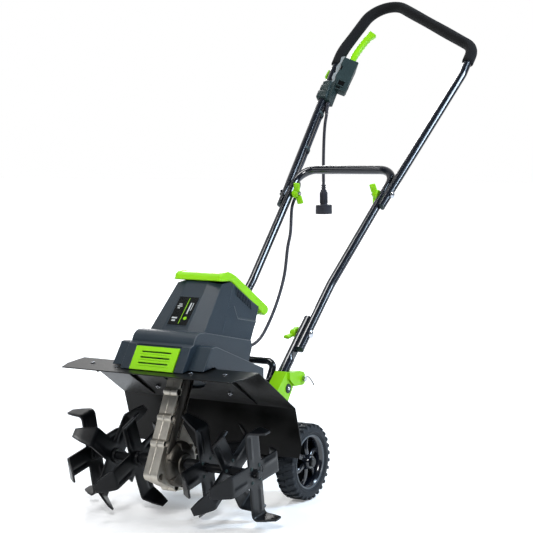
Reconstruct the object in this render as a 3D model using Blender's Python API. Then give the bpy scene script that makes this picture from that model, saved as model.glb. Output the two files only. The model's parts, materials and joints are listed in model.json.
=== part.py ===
"""Corded electric garden tiller with a folding handle, six tines and two transport wheels.

Lengths are in millimetres and are turned into metres where the meshes are made.
The design frame has X to the right, Y back towards the handle and Z up from the ground,
with Y = 0 at the tine shaft. The root empty then moves the whole machine so that its
origin is the middle of its footprint.
"""

import math

import bmesh
import bpy
from mathutils import Matrix, Quaternion, Vector

MM = 0.001
GAP = 0.3
X_AXIS = Vector((1, 0, 0))

# Whole machine
FOOTPRINT_MIDDLE_Y = 513.0

# Tines and their shaft
SHAFT_Z = 104.6
SHAFT_R = 8.0
TINE_STEEL = 4.0
BLADE_WIDTH = 40.0
BLADE_BEND_R = 82.0

# Gear case and motor, whose axis leans back over the tine shaft
MOTOR_LEAN = math.radians(26.6)
WORM_OFFSET = 38.0
CASE_R = 57.0
CASE_HALF = 22.0
CASE_WALL = 4.5
CASE_TOP = 178.5
CASE_FLOOR = -47.0
WORM_TEETH = 30
WORM_PITCH_R = 8.0
WHEEL_PITCH_R = 30.0
TOOTH_DEPTH = 4.0

# Deck sheet, seen from the side
DECK_HALF = 200.0
DECK_SHEET = 2.0
DECK_LINE = [(-86, 285), (-5, 291), (119.5, 206), (149, 104)]

# Motor housing
COVER_WALL = 3.0
TOWER_FOOT_Z = 305.0
TOWER_FRONT = [(16, 353), (97, 438)]
POD_HALF = 104.0

# Wheels
WHEEL_Y = 239.6
WHEEL_R = 75.3
WHEEL_X = 143.0
WHEEL_HALF = 20.0
AXLE_R = 6.0

# Handle. Its tubes lie in one plane that leans back
HANDLE_LEAN = math.radians(47.7)
HANDLE_FOOT_Y = -3.5
TUBE_R = 9.5
TUBE_WALL = 1.3
LOWER_TUBE_R = 10.5
LOWER_TUBE_X = 84.5
MIDDLE_FOOT_X = 96.0
LOWER_PIVOT = 463.0
UPPER_PIVOT = 860.0
UPPER_MIDDLE_X = 118.0
UPPER_LEG_X = 129.5
UPPER_FLARE = 0.112
PRESSED_LENGTH = 62.0
LOWER_PRESS_X = 90.25
UPPER_PRESS_X = 123.75
FOAM_R = 13.5
GRIP_LEFT = 1292.0
GRIP_RIGHT = 1284.0
BOLT_R = 3.5
LOWER_KNOB_TURN = math.radians(76)
UPPER_KNOB_TURN = math.radians(-17)

# Cables
CORD_R = 3.6
PLUG_X = -152.0
PLUG_Y = 843.0
PLUG_TOP_Z = 590.0
GLAND_END = Vector((-34, 198, 300))

# Switch box beside the left leg
SWITCH_TURN = math.radians(33)
SWITCH_T0 = 1236.0
SWITCH_LENGTH = 88.0
TAIL_FOOT = 1168.0

# Wheel height adjuster
ADJUSTER_Y = 252.0
ADJUSTER_Z = 214.0
LOCK_Y = 301.0
LOCK_Z = 227.0

FINISHES = {
    "lime_plastic": ((0.30, 0.66, 0.03), 0.35, 0.0),
    "housing_plastic": ((0.045, 0.055, 0.065), 0.5, 0.0),
    "black_plastic": ((0.02, 0.02, 0.022), 0.5, 0.0),
    "deck_paint": ((0.012, 0.012, 0.013), 0.2, 0.0),
    "tube_paint": ((0.012, 0.012, 0.014), 0.22, 0.0),
    "tine_paint": ((0.02, 0.022, 0.026), 0.4, 0.0),
    "cast_aluminium": ((0.62, 0.60, 0.57), 0.38, 1.0),
    "zinc_steel": ((0.66, 0.67, 0.68), 0.3, 1.0),
    "bronze": ((0.55, 0.36, 0.16), 0.4, 1.0),
    "copper": ((0.70, 0.32, 0.16), 0.4, 1.0),
    "foam": ((0.015, 0.015, 0.015), 0.9, 0.0),
    "cable_rubber": ((0.03, 0.03, 0.035), 0.6, 0.0),
    "tyre_rubber": ((0.06, 0.065, 0.075), 0.75, 0.0),
    "badge": ((0.02, 0.025, 0.02), 0.3, 0.0),
}


# ---------------------------------------------------------------- scene and bodies

def clear_scene():
    for item in list(bpy.data.objects):
        bpy.data.objects.remove(item)


def make_finish(name):
    colour, roughness, metallic = FINISHES[name]
    material = bpy.data.materials.new(name)
    material.use_nodes = True
    shader = material.node_tree.nodes["Principled BSDF"]
    shader.inputs["Base Color"].default_value = (*colour, 1)
    shader.inputs["Roughness"].default_value = roughness
    shader.inputs["Metallic"].default_value = metallic
    material.diffuse_color = (*colour, 1)
    return material


def face_outwards(shape):
    """Gives a closed bmesh consistent normals that point out of it."""
    bmesh.ops.recalc_face_normals(shape, faces=shape.faces)
    if shape.calc_volume(signed=True) < 0:
        bmesh.ops.reverse_faces(shape, faces=shape.faces)


class Body:
    """An empty on a joint's axis that carries the pieces moving together."""

    def __init__(self, name, pivot=(0, 0, 0), parent=None):
        self.pivot = Vector(pivot)
        self.empty = bpy.data.objects.new("body_" + name, None)
        bpy.context.scene.collection.objects.link(self.empty)
        self.empty.parent = parent.empty if parent else None
        start = parent.pivot if parent else Vector((0, FOOTPRINT_MIDDLE_Y, 0))
        self.empty.location = (self.pivot - start) * MM

    def add(self, name, shape, finish, sharp_angle=35):
        """Turns a bmesh in design millimetres into this body's named object."""
        face_outwards(shape)
        for vertex in shape.verts:
            vertex.co = (vertex.co - self.pivot) * MM
        mesh = bpy.data.meshes.new(name)
        shape.to_mesh(mesh)
        shape.free()
        if finish not in bpy.data.materials:
            make_finish(finish)
        mesh.materials.append(bpy.data.materials[finish])
        mesh.shade_smooth()
        mesh.set_sharp_from_angle(angle=math.radians(sharp_angle))
        piece = bpy.data.objects.new(name, mesh)
        bpy.context.scene.collection.objects.link(piece)
        piece.parent = self.empty
        return piece


# ---------------------------------------------------------------- places

def on_handle(x, along, off=0.0):
    """A point at x, a distance along the leaning handle plane, and off it downwards."""
    sine, cosine = math.sin(HANDLE_LEAN), math.cos(HANDLE_LEAN)
    y = HANDLE_FOOT_Y + along * sine + off * cosine
    return Vector((x, y, along * cosine - off * sine))


def on_motor(off, along):
    """(y, z) at a distance along the motor's lean from the tine shaft and off it, rearwards."""
    sine, cosine = math.sin(MOTOR_LEAN), math.cos(MOTOR_LEAN)
    return (along * sine + off * cosine, SHAFT_Z + along * cosine - off * sine)


def motor_matrix():
    """Stands a shape that was turned about X on the motor's axis, counted from the worm."""
    y, z = on_motor(-WORM_OFFSET, 0)
    tilt = Matrix.Rotation(-MOTOR_LEAN, 4, "X")
    upright = Matrix.Rotation(-math.pi / 2, 4, "Y")
    return Matrix.Translation((0, y, z)) @ tilt @ upright


# ---------------------------------------------------------------- shapes

def prism(outline, low_x, high_x):
    """A (y, z) outline extruded from low_x to high_x."""
    shape = bmesh.new()
    loop = [shape.verts.new((low_x, y, z)) for y, z in outline]
    cap = shape.faces.new(loop)
    result = bmesh.ops.extrude_face_region(shape, geom=[cap])
    moved = [item for item in result["geom"] if isinstance(item, bmesh.types.BMVert)]
    bmesh.ops.translate(shape, verts=moved, vec=(high_x - low_x, 0, 0))
    return shape


def tapered(outline):
    """A solid between x = -half and x = +half, for an outline of (y, z, half) points."""
    shape = bmesh.new()
    left = [shape.verts.new((-half, y, z)) for y, z, half in outline]
    right = [shape.verts.new((half, y, z)) for y, z, half in outline]
    count = len(outline)
    shape.faces.new(left)
    shape.faces.new(list(reversed(right)))
    for i in range(count):
        j = (i + 1) % count
        shape.faces.new((left[i], right[i], right[j], left[j]))
    return shape


def box(low, high):
    shape = bmesh.new()
    bmesh.ops.create_cube(shape, size=1)
    low, high = Vector(low), Vector(high)
    for vertex in shape.verts:
        vertex.co = [low[i] + (vertex.co[i] + 0.5) * (high[i] - low[i]) for i in range(3)]
    return shape


def turned(profile, segments=16, centre=(0, 0, 0), ring=True, start=0.0):
    """A profile of (x, radius) points turned about X. An open profile starts and ends on X."""
    shape = bmesh.new()
    rows = []
    for x, radius in profile:
        if radius == 0:
            rows.append([shape.verts.new((x, 0, 0))] * segments)
            continue
        angles = [2 * math.pi * (k + start) / segments for k in range(segments)]
        rows.append([shape.verts.new((x, radius * math.cos(a), radius * math.sin(a))) for a in angles])
    pairs = list(zip(rows, rows[1:]))
    if ring:
        pairs.append((rows[-1], rows[0]))
    for first, second in pairs:
        for k in range(segments):
            nxt = (k + 1) % segments
            corners = [first[k], first[nxt], second[nxt], second[k]]
            shape.faces.new(list(dict.fromkeys(corners)))
    bmesh.ops.translate(shape, verts=shape.verts, vec=centre)
    return shape


def clearing(radius, sides):
    """The corner radius of a many-sided hole that clears a round bar of the given radius."""
    return radius / math.cos(math.pi / sides) + GAP


def rod(start, end, radius, segments=12):
    """A solid round bar from start to end."""
    start, end = Vector(start), Vector(end)
    length = (end - start).length
    shape = turned([(0, 0), (0, radius), (length, radius), (length, 0)], segments, ring=False)
    turn = X_AXIS.rotation_difference(end - start).to_matrix().to_4x4()
    shape.transform(Matrix.Translation(start) @ turn)
    return shape


def thickened(line, depth):
    """The closed outline of a sheet whose upper side is the (y, z) line."""
    points = [Vector(p) for p in line]
    lower = []
    for i, point in enumerate(points):
        before = (point - points[i - 1]).normalized() if i else None
        after = (points[i + 1] - point).normalized() if i < len(points) - 1 else None
        normals = [Vector((d.y, -d.x)) for d in (before, after) if d]
        mitre = sum(normals, Vector((0, 0))).normalized()
        lower.append(point + mitre * depth / mitre.dot(normals[0]))
    return [tuple(p) for p in points] + [tuple(p) for p in reversed(lower)]


def arc(centre, radius, start, end, steps):
    """Points on a circle, with angles in degrees."""
    angles = [math.radians(start + (end - start) * k / steps) for k in range(steps + 1)]
    return [(centre[0] + radius * math.cos(a), centre[1] + radius * math.sin(a)) for a in angles]


def rounded(corners, radii, steps=5):
    """A path through 3-D corners, each rounded to its radius."""
    path = [corners[0]]
    for i in range(1, len(corners) - 1):
        before = (corners[i - 1] - corners[i]).normalized()
        after = (corners[i + 1] - corners[i]).normalized()
        half = before.angle(after) / 2
        radius = radii[i - 1]
        if radius == 0:
            path.append(corners[i])
            continue
        reach = radius / math.tan(half)
        centre = corners[i] + (before + after).normalized() * radius / math.sin(half)
        first = corners[i] + before * reach - centre
        last = corners[i] + after * reach - centre
        turn = Quaternion(first.cross(last), first.angle(last) / steps)
        for k in range(steps + 1):
            path.append(centre + first)
            first = turn @ first
    path.append(corners[-1])
    return path


def between(start, end, step):
    """Evenly spaced points from start to end, without the end."""
    count = max(1, round((end - start).length / step))
    return [start.lerp(end, k / count) for k in range(count)]


def divided(bends, pivots):
    """The bends of a path, with closer points where a tube is pressed flat round a pivot."""
    path = []
    for first, second in zip(bends, bends[1:]):
        for k, point in enumerate(between(first, second, 22)):
            if k == 0 or any((point - pivot).length < PRESSED_LENGTH + 18 for pivot in pivots):
                path.append(point)
    return path + [bends[-1]]


def swept(path, radius, wall=0.0, sides=12, presses=()):
    """A round tube along a path. Each press is (pivot, x, side): near the pivot the tube is
    flattened so that nothing of it passes x on that side."""
    shape = bmesh.new()
    tangents = []
    for i in range(len(path)):
        ahead = path[min(i + 1, len(path) - 1)] - path[max(i - 1, 0)]
        tangents.append(ahead.normalized())
    normal = tangents[0].orthogonal().normalized()
    layers = [[], []] if wall else [[]]
    for i, point in enumerate(path):
        if i:
            normal = tangents[i - 1].rotation_difference(tangents[i]) @ normal
        side = tangents[i].cross(normal)
        for layer, reach in zip(layers, (radius, radius - wall)):
            ring = []
            for k in range(sides):
                a = 2 * math.pi * (k + 0.5) / sides
                place = point + (normal * math.cos(a) + side * math.sin(a)) * reach
                for pivot, limit, direction in presses:
                    inset = limit - direction * (radius - reach)
                    if (point - pivot).length < PRESSED_LENGTH and place.x * direction > inset * direction:
                        place.x = inset
                ring.append(shape.verts.new(place))
            layer.append(ring)
    for layer in layers:
        for first, second in zip(layer, layer[1:]):
            for k in range(sides):
                nxt = (k + 1) % sides
                shape.faces.new((first[k], first[nxt], second[nxt], second[k]))
    for end in (0, -1):
        if wall:
            for k in range(sides):
                nxt = (k + 1) % sides
                outer, inner = layers[0][end], layers[1][end]
                shape.faces.new((outer[k], outer[nxt], inner[nxt], inner[k]))
        else:
            shape.faces.new(layers[0][end])
    return shape


def threaded(length, pitch_radius, depth, lead, around=16, per_lead=6):
    """A screw thread about X that starts at x = 0."""
    rows = int(length / lead * per_lead)
    profile = []
    for i in range(rows + 1):
        x = length * i / rows
        row = []
        for k in range(around):
            phase = (x / lead - k / around) % 1.0
            wave = max(-1.0, min(1.0, 1.5 - 10 * abs(phase - 0.5)))
            row.append(pitch_radius + depth / 2 * wave)
        profile.append((x, row))
    shape = bmesh.new()
    rings = []
    for x, row in profile:
        angles = [2 * math.pi * k / around for k in range(around)]
        rings.append([shape.verts.new((x, r * math.cos(a), r * math.sin(a))) for a, r in zip(angles, row)])
    for first, second in zip(rings, rings[1:]):
        for k in range(around):
            nxt = (k + 1) % around
            shape.faces.new((first[k], first[nxt], second[nxt], second[k]))
    shape.faces.new(rings[0])
    shape.faces.new(rings[-1])
    return shape


def toothed(width, pitch_radius, depth, teeth, bore, twist, phase):
    """A gear about X with slanted teeth, one of them centred on the phase angle at x = 0."""
    shape = bmesh.new()
    corners = ((-0.07, 1), (0.07, 1), (0.16, -1), (0.84, -1))
    places = [((k + share) / teeth, high) for k in range(teeth) for share, high in corners]
    rings = []
    for x in (-width / 2, width / 2):
        turns = [(phase + 2 * math.pi * share + twist * x, high) for share, high in places]
        ring = []
        for angle, high in turns:
            radius = pitch_radius + depth / 2 * high
            ring.append(shape.verts.new((x, radius * math.cos(angle), radius * math.sin(angle))))
        rings.append(ring)
        rings.append([shape.verts.new((x, bore * math.cos(angle), bore * math.sin(angle)))
                      for angle, _ in turns])
    outer_low, bore_low, outer_high, bore_high = rings
    for first, second in ((outer_low, outer_high), (outer_high, bore_high),
                          (bore_high, bore_low), (bore_low, outer_low)):
        for k in range(len(places)):
            nxt = (k + 1) % len(places)
            shape.faces.new((first[k], first[nxt], second[nxt], second[k]))
    return shape


def combine(piece, tool, operation="DIFFERENCE"):
    """Cuts or joins a bmesh tool in design millimetres into a finished piece."""
    pivot = Vector((0, FOOTPRINT_MIDDLE_Y, 0))
    face_outwards(tool)
    for vertex in tool.verts:
        vertex.co = (vertex.co - pivot) * MM
    mesh = bpy.data.meshes.new("tool")
    tool.to_mesh(mesh)
    tool.free()
    cutter = bpy.data.objects.new("tool", mesh)
    bpy.context.scene.collection.objects.link(cutter)
    step = piece.modifiers.new("combine", "BOOLEAN")
    step.operation = operation
    step.solver = "EXACT"
    step.object = cutter
    bpy.context.view_layer.update()
    evaluated = piece.evaluated_get(bpy.context.evaluated_depsgraph_get())
    result = bpy.data.meshes.new_from_object(evaluated)
    piece.modifiers.clear()
    piece.data = result
    bpy.data.objects.remove(cutter)
    bpy.data.meshes.remove(mesh)
    return piece


# ---------------------------------------------------------------- chassis

def make_deck(chassis):
    deck = chassis.add("deck_guard", prism(thickened(DECK_LINE, DECK_SHEET), -DECK_HALF, DECK_HALF),
                       "deck_paint")
    low, high = on_motor(-WORM_OFFSET, 100), on_motor(-WORM_OFFSET, 230)
    combine(deck, rod((0, *low), (0, *high), 48, 16))
    for side in (-1, 1):
        for y, z, reach_x, reach_y in ((-86, 285, 12, 34), (149, 104, 14, 10)):
            inward = 1 if y < 0 else -1
            corner = bmesh.new()
            bottom = [(side * DECK_HALF + side, y - inward), (side * (DECK_HALF - reach_x), y - inward),
                      (side * DECK_HALF + side, y + inward * reach_y)]
            face = corner.faces.new([corner.verts.new((x, py, z - 40)) for x, py in bottom])
            top = bmesh.ops.extrude_face_region(corner, geom=[face])["geom"]
            bmesh.ops.translate(corner, verts=[v for v in top if isinstance(v, bmesh.types.BMVert)],
                                vec=(0, 0, 80))
            combine(deck, corner)


def housing_outline(inset):
    """The tower's side view as (y, z, half width) points, shrunk by inset."""
    full = [(*TOWER_FRONT[0], 62.5), (*TOWER_FRONT[1], 50), (141, 436, 50), (221, 381, 55), (209, 363, 58),
            (199, 347, 62), (176, 317, 66), (171, TOWER_FOOT_Z, 68), (0, TOWER_FOOT_Z, 68), (-3, 336, 66)]
    points = [Vector(p[:2]) for p in full]
    count = len(points)
    result = []
    for i in range(count):
        before = (points[i] - points[i - 1]).normalized()
        after = (points[(i + 1) % count] - points[i]).normalized()
        normals = (Vector((before.y, -before.x)), Vector((after.y, -after.x)))
        mitre = (normals[0] + normals[1]).normalized()
        moved = points[i] + mitre * inset / mitre.dot(normals[0])
        open_below = 12 if inset and full[i][1] == TOWER_FOOT_Z else 0
        result.append((moved.x, moved.y - open_below, full[i][2] - inset))
    return result


def make_housing(chassis):
    """Tower covers split along a plane behind the front wall, a base with two pods, a cap,
    a vent grille and a badge plate."""
    split_low, split_high = (46, 290), (152, 450)
    behind = [split_low, split_high, (400, 450), (400, 290)]
    ahead = [split_low, (-100, 290), (-100, 450), split_high]
    for name, keep in (("housing_front_cover", behind), ("housing_rear_cover", ahead)):
        cover = chassis.add(name, tapered(housing_outline(0)), "housing_plastic")
        combine(cover, tapered(housing_outline(COVER_WALL)))
        shift = GAP / 2 if keep is behind else -GAP / 2
        combine(cover, prism([(y - shift, z) for y, z in keep], -90, 90))
    make_base(chassis)
    cap = [(92, 439.5, 53), (100, 452, 47), (122, 454, 46), (147, 443, 49), (250, 374, 54),
           (250, 366, 57), (238, 359, 58), (223, 366.5, 59), (225, 382, 60), (143, 438, 55),
           (98, 439.5, 53)]
    chassis.add("housing_top_cap", tapered(cap), "lime_plastic")
    grille = chassis.add("front_vent_grille",
                         prism([(-61.3, 288), (-34.2, 328.5), (-30.8, 328.5), (-57.9, 288)], -49, 49),
                         "lime_plastic")
    for height in (296, 306.5, 317):
        combine(grille, box((-34, -75, height - 1.6), (34, -25, height + 1.6)))
    foot, top = Vector((0, *TOWER_FRONT[0])), Vector((0, *TOWER_FRONT[1]))
    lean = X_AXIS.cross(top - foot).normalized() * -1
    badge = box((-22, -1.2 - GAP, -33), (22, -GAP, 33))
    tilt = Vector((0, -1, 0)).rotation_difference(-lean).to_matrix().to_4x4()
    badge.transform(Matrix.Translation(foot.lerp(top, 0.38)) @ tilt)
    chassis.add("badge_plate", badge, "badge")


def make_base(chassis):
    """The base: a front block with a curved shoulder and two side pods, open underneath."""
    block = [(-60.3, 287.5), (-31, 331), (-24, 345), (-10, 353), (3, 353.5), (-3.8, 336), (-0.8, 304.3),
             (174.5, 304.3), (163, 280), (163, 240), (122, 208.5), (-4.6, 292.9)]
    hollow = [(-54, 292), (-26, 334), (-17, 343), (-9, 346), (-7, 336), (-4, 301), (168, 301),
              (159, 281), (158, 225), (122, 190), (-5, 280)]
    pod = [(-41, 289.8), (-11, 330), (2, 331), (163, 268), (163, 240), (122, 208.5), (-4.6, 293.2)]
    pod_hollow = [(-34, 285), (-9, 326), (1, 327), (159, 265), (158, 225), (122, 190), (-4.6, 280)]
    base = chassis.add("housing_base", prism(block, -70, 70), "housing_plastic")
    for side in (-1, 1):
        low, high = sorted((side * 69, side * POD_HALF))
        combine(base, prism(pod, low, high), "UNION")
        low, high = sorted((side * 66, side * (POD_HALF - COVER_WALL)))
        combine(base, prism(pod_hollow, low, high))
    combine(base, prism(hollow, -66, 66))
    combine(base, box((-62, 4, 295), (62, 164, 310)))
    combine(base, box((-49.5, -75, 286), (49.5, -26, 329)))


def case_outline(inset):
    points = [(-58 + inset, CASE_TOP), (-18 - inset, CASE_TOP), (-18 - inset, 72)]
    points += arc((0, 0), CASE_R - inset, 58, -40, 10)
    points += [(19, CASE_FLOOR + inset), (inset - 50, CASE_FLOOR + inset), (inset - 58, CASE_FLOOR + 8 + inset)]
    return [on_motor(off, along) for off, along in points]


def make_gear_case(chassis):
    """Two cast halves that bolt together on the middle plane, with a bushing in each."""
    bottom, top = on_motor(-WORM_OFFSET, 140), on_motor(-WORM_OFFSET, CASE_TOP + 10)
    for side, word in ((-1, "left"), (1, "right")):
        near, far = side * GAP / 2, side * CASE_HALF
        half = chassis.add("gearcase_" + word, prism(case_outline(0), min(near, far), max(near, far)),
                           "cast_aluminium")
        far = side * (CASE_HALF - CASE_WALL)
        inner = [p for p in case_outline(CASE_WALL)]
        floor = [on_motor(-58 + CASE_WALL, 150), on_motor(-18 - CASE_WALL, 150)]
        inner[0:2] = floor
        combine(half, prism(inner, min(-side * 2, far), max(-side * 2, far)))
        combine(half, rod((0, *bottom), (0, *top), 9.5, 16))
        combine(half, rod((side * 10, 0, SHAFT_Z), (side * 50, 0, SHAFT_Z), 15 + GAP, 20))
        lip = CASE_HALF + 3
        profile = [(10, SHAFT_R + GAP), (lip, SHAFT_R + GAP), (lip, 19), (CASE_HALF + GAP, 19),
                   (CASE_HALF + GAP, 15), (10, 15)]
        profile = [(side * x, radius) for x, radius in profile]
        chassis.add("shaft_bushing_" + word, turned(profile, 20, (0, 0, SHAFT_Z)), "bronze")


def make_motor(chassis, armature):
    """Stator and mounting plate on the chassis, and the turning armature with its worm."""
    place = motor_matrix()

    def on_axis(name, body, profile, finish, segments=20):
        shape = turned(profile, segments)
        shape.transform(place)
        return body.add(name, shape, finish)

    on_axis("motor_mount_plate", chassis, [(181, 7), (187, 7), (187, 44), (181, 44)], "cast_aluminium", 24)
    on_axis("motor_stator", chassis, [(190, 25), (262, 25), (262, 40), (190, 40)], "zinc_steel", 24)
    lead = 2 * math.pi * WHEEL_PITCH_R / WORM_TEETH
    worm = threaded(4 * lead, WORM_PITCH_R, TOOTH_DEPTH, lead)
    bmesh.ops.translate(worm, verts=worm.verts, vec=(-2 * lead, 0, 0))
    worm.transform(place)
    shaft = armature.add("motor_shaft", worm, "zinc_steel")
    long_end = turned([(2 * lead - 2, 0), (2 * lead - 2, 5), (296, 5), (296, 0)], 12, ring=False)
    long_end.transform(place)
    combine(shaft, long_end, "UNION")
    on_axis("armature_core", armature, [(194, 5.3), (278, 5.3), (278, 12), (260, 12), (256, 23.5),
                                        (194, 23.5)], "copper")
    on_axis("cooling_fan", armature, [(282, 5.3), (292, 5.3), (292, 9), (285, 12), (285, 32), (282, 32)],
            "black_plastic")


def make_rear_frame(chassis):
    """Side plates behind the deck, the fixed lower handle tubes and their lime brackets."""
    plate = [(124, 203), (150.5, 112), (162, 112), (200, 170), (262, 190), (312, 214), (312, 240),
             (285, 240), (250, 236), (150, 214)]
    adjuster = Vector((0, ADJUSTER_Y, ADJUSTER_Z))
    for side, word in ((-1, "left"), (1, "right")):
        low, high = sorted((side * 64.5, side * 67.5))
        frame = chassis.add("frame_plate_" + word, prism(plate, low, high), "tube_paint")
        combine(frame, rod(adjuster + X_AXIS * low * 2, adjuster + X_AXIS * -low, 8 + GAP, 16))
        foot, top = on_handle(side * LOWER_TUBE_X, 290), on_handle(side * LOWER_TUBE_X, 502)
        pivot = on_handle(side * LOWER_TUBE_X, LOWER_PIVOT)
        path = divided([foot, top], [pivot])
        presses = [(pivot, side * (LOWER_PRESS_X - GAP / 2), side)]
        tube = chassis.add("lower_tube_" + word,
                           swept(path, LOWER_TUBE_R, TUBE_WALL, 8, presses), "tube_paint")
        combine(tube, bolt_hole(side, LOWER_PIVOT))
        make_bracket(chassis, side, word)


def bolt_hole(side, along):
    centre = on_handle(0, along)
    return rod(centre + X_AXIS * side * 55, centre + X_AXIS * side * 160, BOLT_R + GAP, 12)


def make_bracket(chassis, side, word):
    block = [on_handle(0, t, n)[1:] for t, n in ((288, -14), (353, -14), (353, 20), (346, 27),
                                               (318, 32), (296, 26))]
    arm = [(252, 232), (252, 245), (289, 244), (305, 240), (313, 230), (311, 219), (302, 214), (270, 216)]
    low, high = sorted((side * 76, side * 103))
    bracket = chassis.add("handle_bracket_" + word, prism(block, low, high), "lime_plastic")
    low, high = sorted((side * 76.0, side * 108))
    combine(bracket, prism(arm, low, high), "UNION")
    combine(bracket, rod(on_handle(side * LOWER_TUBE_X, 250), on_handle(side * LOWER_TUBE_X, 420),
                         clearing(LOWER_TUBE_R, 12), 12))
    for y, z, radius in ((ADJUSTER_Y, ADJUSTER_Z, BOLT_R + GAP), (LOCK_Y, LOCK_Z, 4 + GAP)):
        combine(bracket, rod((side * 60, y, z), (side * 120, y, z), radius, 12))


# ---------------------------------------------------------------- tines

def tine(x, turn, bends):
    """A four-bladed tine cut from sheet. Blades start at the front and go round by quarter
    turns; each bend is (degrees, length) and a positive angle bends the tip towards +X."""
    shape = bmesh.new()
    half = BLADE_WIDTH / 2
    columns = 2
    across = [-half + BLADE_WIDTH * k / columns for k in range(columns + 1)]

    def corner(radial, width, side_x, quarter):
        angle = math.radians(180 + turn + 90 * quarter)
        y = radial * math.cos(angle) - width * math.sin(angle)
        z = radial * math.sin(angle) + width * math.cos(angle)
        return (x + side_x, y, SHAFT_Z + z)

    bore = clearing(SHAFT_R, 4 * columns)
    hub, rim = [], []
    for quarter in range(4):
        for width in across[:-1]:
            rim.append(shape.verts.new(corner(half, width, 0, quarter)))
            angle = math.atan2(width, half)
            hub.append(shape.verts.new(corner(math.cos(angle) * bore, math.sin(angle) * bore, 0, quarter)))
    total = len(rim)
    for k in range(total):
        shape.faces.new((hub[k], rim[k], rim[(k + 1) % total], hub[(k + 1) % total]))
    for quarter, (degrees, length) in enumerate(bends):
        previous = [rim[(quarter * columns + k) % total] for k in range(columns + 1)]
        bend_radius = 9.0
        stations = [(BLADE_BEND_R - bend_radius, 0.0, 1.0, 1.0)]
        angle = math.radians(abs(degrees))
        sign = 1 if degrees > 0 else -1
        for k in (1, 2, 3):
            a = angle * k / 3
            stations.append((BLADE_BEND_R - bend_radius + bend_radius * math.sin(a),
                             sign * bend_radius * (1 - math.cos(a)), 1.0, 1.0))
        last = stations[-1]
        stations.append((last[0] + length * math.cos(angle), last[1] + sign * length * math.sin(angle),
                         0.75, 0.1))
        for radial, side_x, high, low in stations:
            row = []
            for width in across:
                share = high if width > 0 else low
                row.append(shape.verts.new(corner(radial, width * share, side_x, quarter)))
            for k in range(columns):
                shape.faces.new((previous[k], previous[k + 1], row[k + 1], row[k]))
            previous = row
    return shape


def make_tines(shaft_body):
    ends = [(-196, 0), (-196, 6), (-194, SHAFT_R), (194, SHAFT_R), (196, 6), (196, 0)]
    shaft_body.add("tine_shaft", turned(ends, 16, (0, 0, SHAFT_Z), ring=False), "zinc_steel")
    thread_slope = WHEEL_PITCH_R / WORM_TEETH / WORM_PITCH_R
    gear = toothed(12, WHEEL_PITCH_R, TOOTH_DEPTH, WORM_TEETH, SHAFT_R + GAP,
                   thread_slope / WHEEL_PITCH_R, math.pi - MOTOR_LEAN)
    bmesh.ops.translate(gear, verts=gear.verts, vec=(0, 0, SHAFT_Z))
    shaft_body.add("worm_wheel", gear, "bronze")
    out, inward = (88, 30), (-50, 36)
    sets = {
        "outer": (185, {-1: 11.5, 1: 7}, (inward, out, inward, out)),
        "middle": (133, {-1: 53, 1: 34}, (inward, (50, 36), inward, (50, 36))),
        "inner": (79, {-1: 21, 1: 10}, ((50, 36), inward, (50, 36), inward)),
    }
    for word, (x, turns, bends) in sets.items():
        for side, hand in ((-1, "left"), (1, "right")):
            signed = [(side * degrees, length) for degrees, length in bends]
            piece = shaft_body.add(f"tine_{word}_{hand}", tine(side * x, turns[side], signed), "tine_paint")
            sheet = piece.modifiers.new("sheet", "SOLIDIFY")
            sheet.thickness = TINE_STEEL * MM
            sheet.offset = 0
            sheet.use_even_offset = True


# ---------------------------------------------------------------- wheels

def make_wheel_frame(frame):
    """A welded frame: a lever hoop on a cross tube with two arms, which carry the axle. It
    swings the wheels up for tilling."""
    adjuster = Vector((0, ADJUSTER_Y, ADJUSTER_Z))
    cross = turned([(-72, 0), (-72, 7.5), (72, 7.5), (72, 0)], 16, adjuster, ring=False)
    weldment = frame.add("wheel_frame", cross, "tube_paint")
    foot = adjuster + Vector((0, 3, 3))
    corners = [foot + Vector((-54, 0, 0)), on_handle(-54, 386), on_handle(54, 386), foot + Vector((54, 0, 0))]
    combine(weldment, swept(rounded(corners, (18, 18)), 7.4, 0, 12), "UNION")
    arm = [(236, 208), (229, 78), (233, 66), (247, 66), (251, 78), (262, 190), (296, 205), (308, 218),
           (310, 236), (296, 240), (281, 232), (252, 230), (240, 224)]
    for side in (-1, 1):
        low, high = sorted((side * 69, side * 72.5))
        combine(weldment, prism(arm, low, high), "UNION")
        combine(weldment, rod((side * 60, LOCK_Y, LOCK_Z), (side * 80, LOCK_Y, LOCK_Z), 4 + GAP, 12))
        combine(weldment, rod((side * 60, WHEEL_Y, WHEEL_R), (side * 80, WHEEL_Y, WHEEL_R), AXLE_R + GAP, 12))
    half = WHEEL_X + WHEEL_HALF
    profile = [(-half - 5, 0), (-half - 5, 9), (-half - 1, 9), (-half - 1, AXLE_R),
               (half + 1, AXLE_R), (half + 1, 9), (half + 5, 9), (half + 5, 0)]
    frame.add("wheel_axle", turned(profile, 16, (0, WHEEL_Y, WHEEL_R), ring=False), "zinc_steel")


def make_wheel(body, side, word):
    centre = (side * WHEEL_X, WHEEL_Y, WHEEL_R)
    segments = 28
    flat = 1 / math.cos(math.pi / segments)
    tyre = [(-14, 52), (14, 52), (20, 60), (19, 71), (12, WHEEL_R * flat), (-12, WHEEL_R * flat),
            (-19, 71), (-20, 60)]
    body.add("tyre_" + word, turned(tyre, segments, centre, start=0.5), "tyre_rubber")
    rim = [(-20, AXLE_R + GAP), (20, AXLE_R + GAP), (20, 14), (3, 14), (3, 46), (14, 48), (14, 51),
           (-14, 51), (-14, 48), (-3, 46), (-3, 14), (-20, 14)]
    wheel = body.add("rim_" + word, turned(rim, segments, centre, start=0.5), "housing_plastic")
    for k in range(5):
        angle = 2 * math.pi * k / 5
        y, z = WHEEL_Y + 30 * math.cos(angle), WHEEL_R + 30 * math.sin(angle)
        combine(wheel, rod((side * WHEEL_X - 10, y, z), (side * WHEEL_X + 10, y, z), 9.5, 6))


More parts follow.
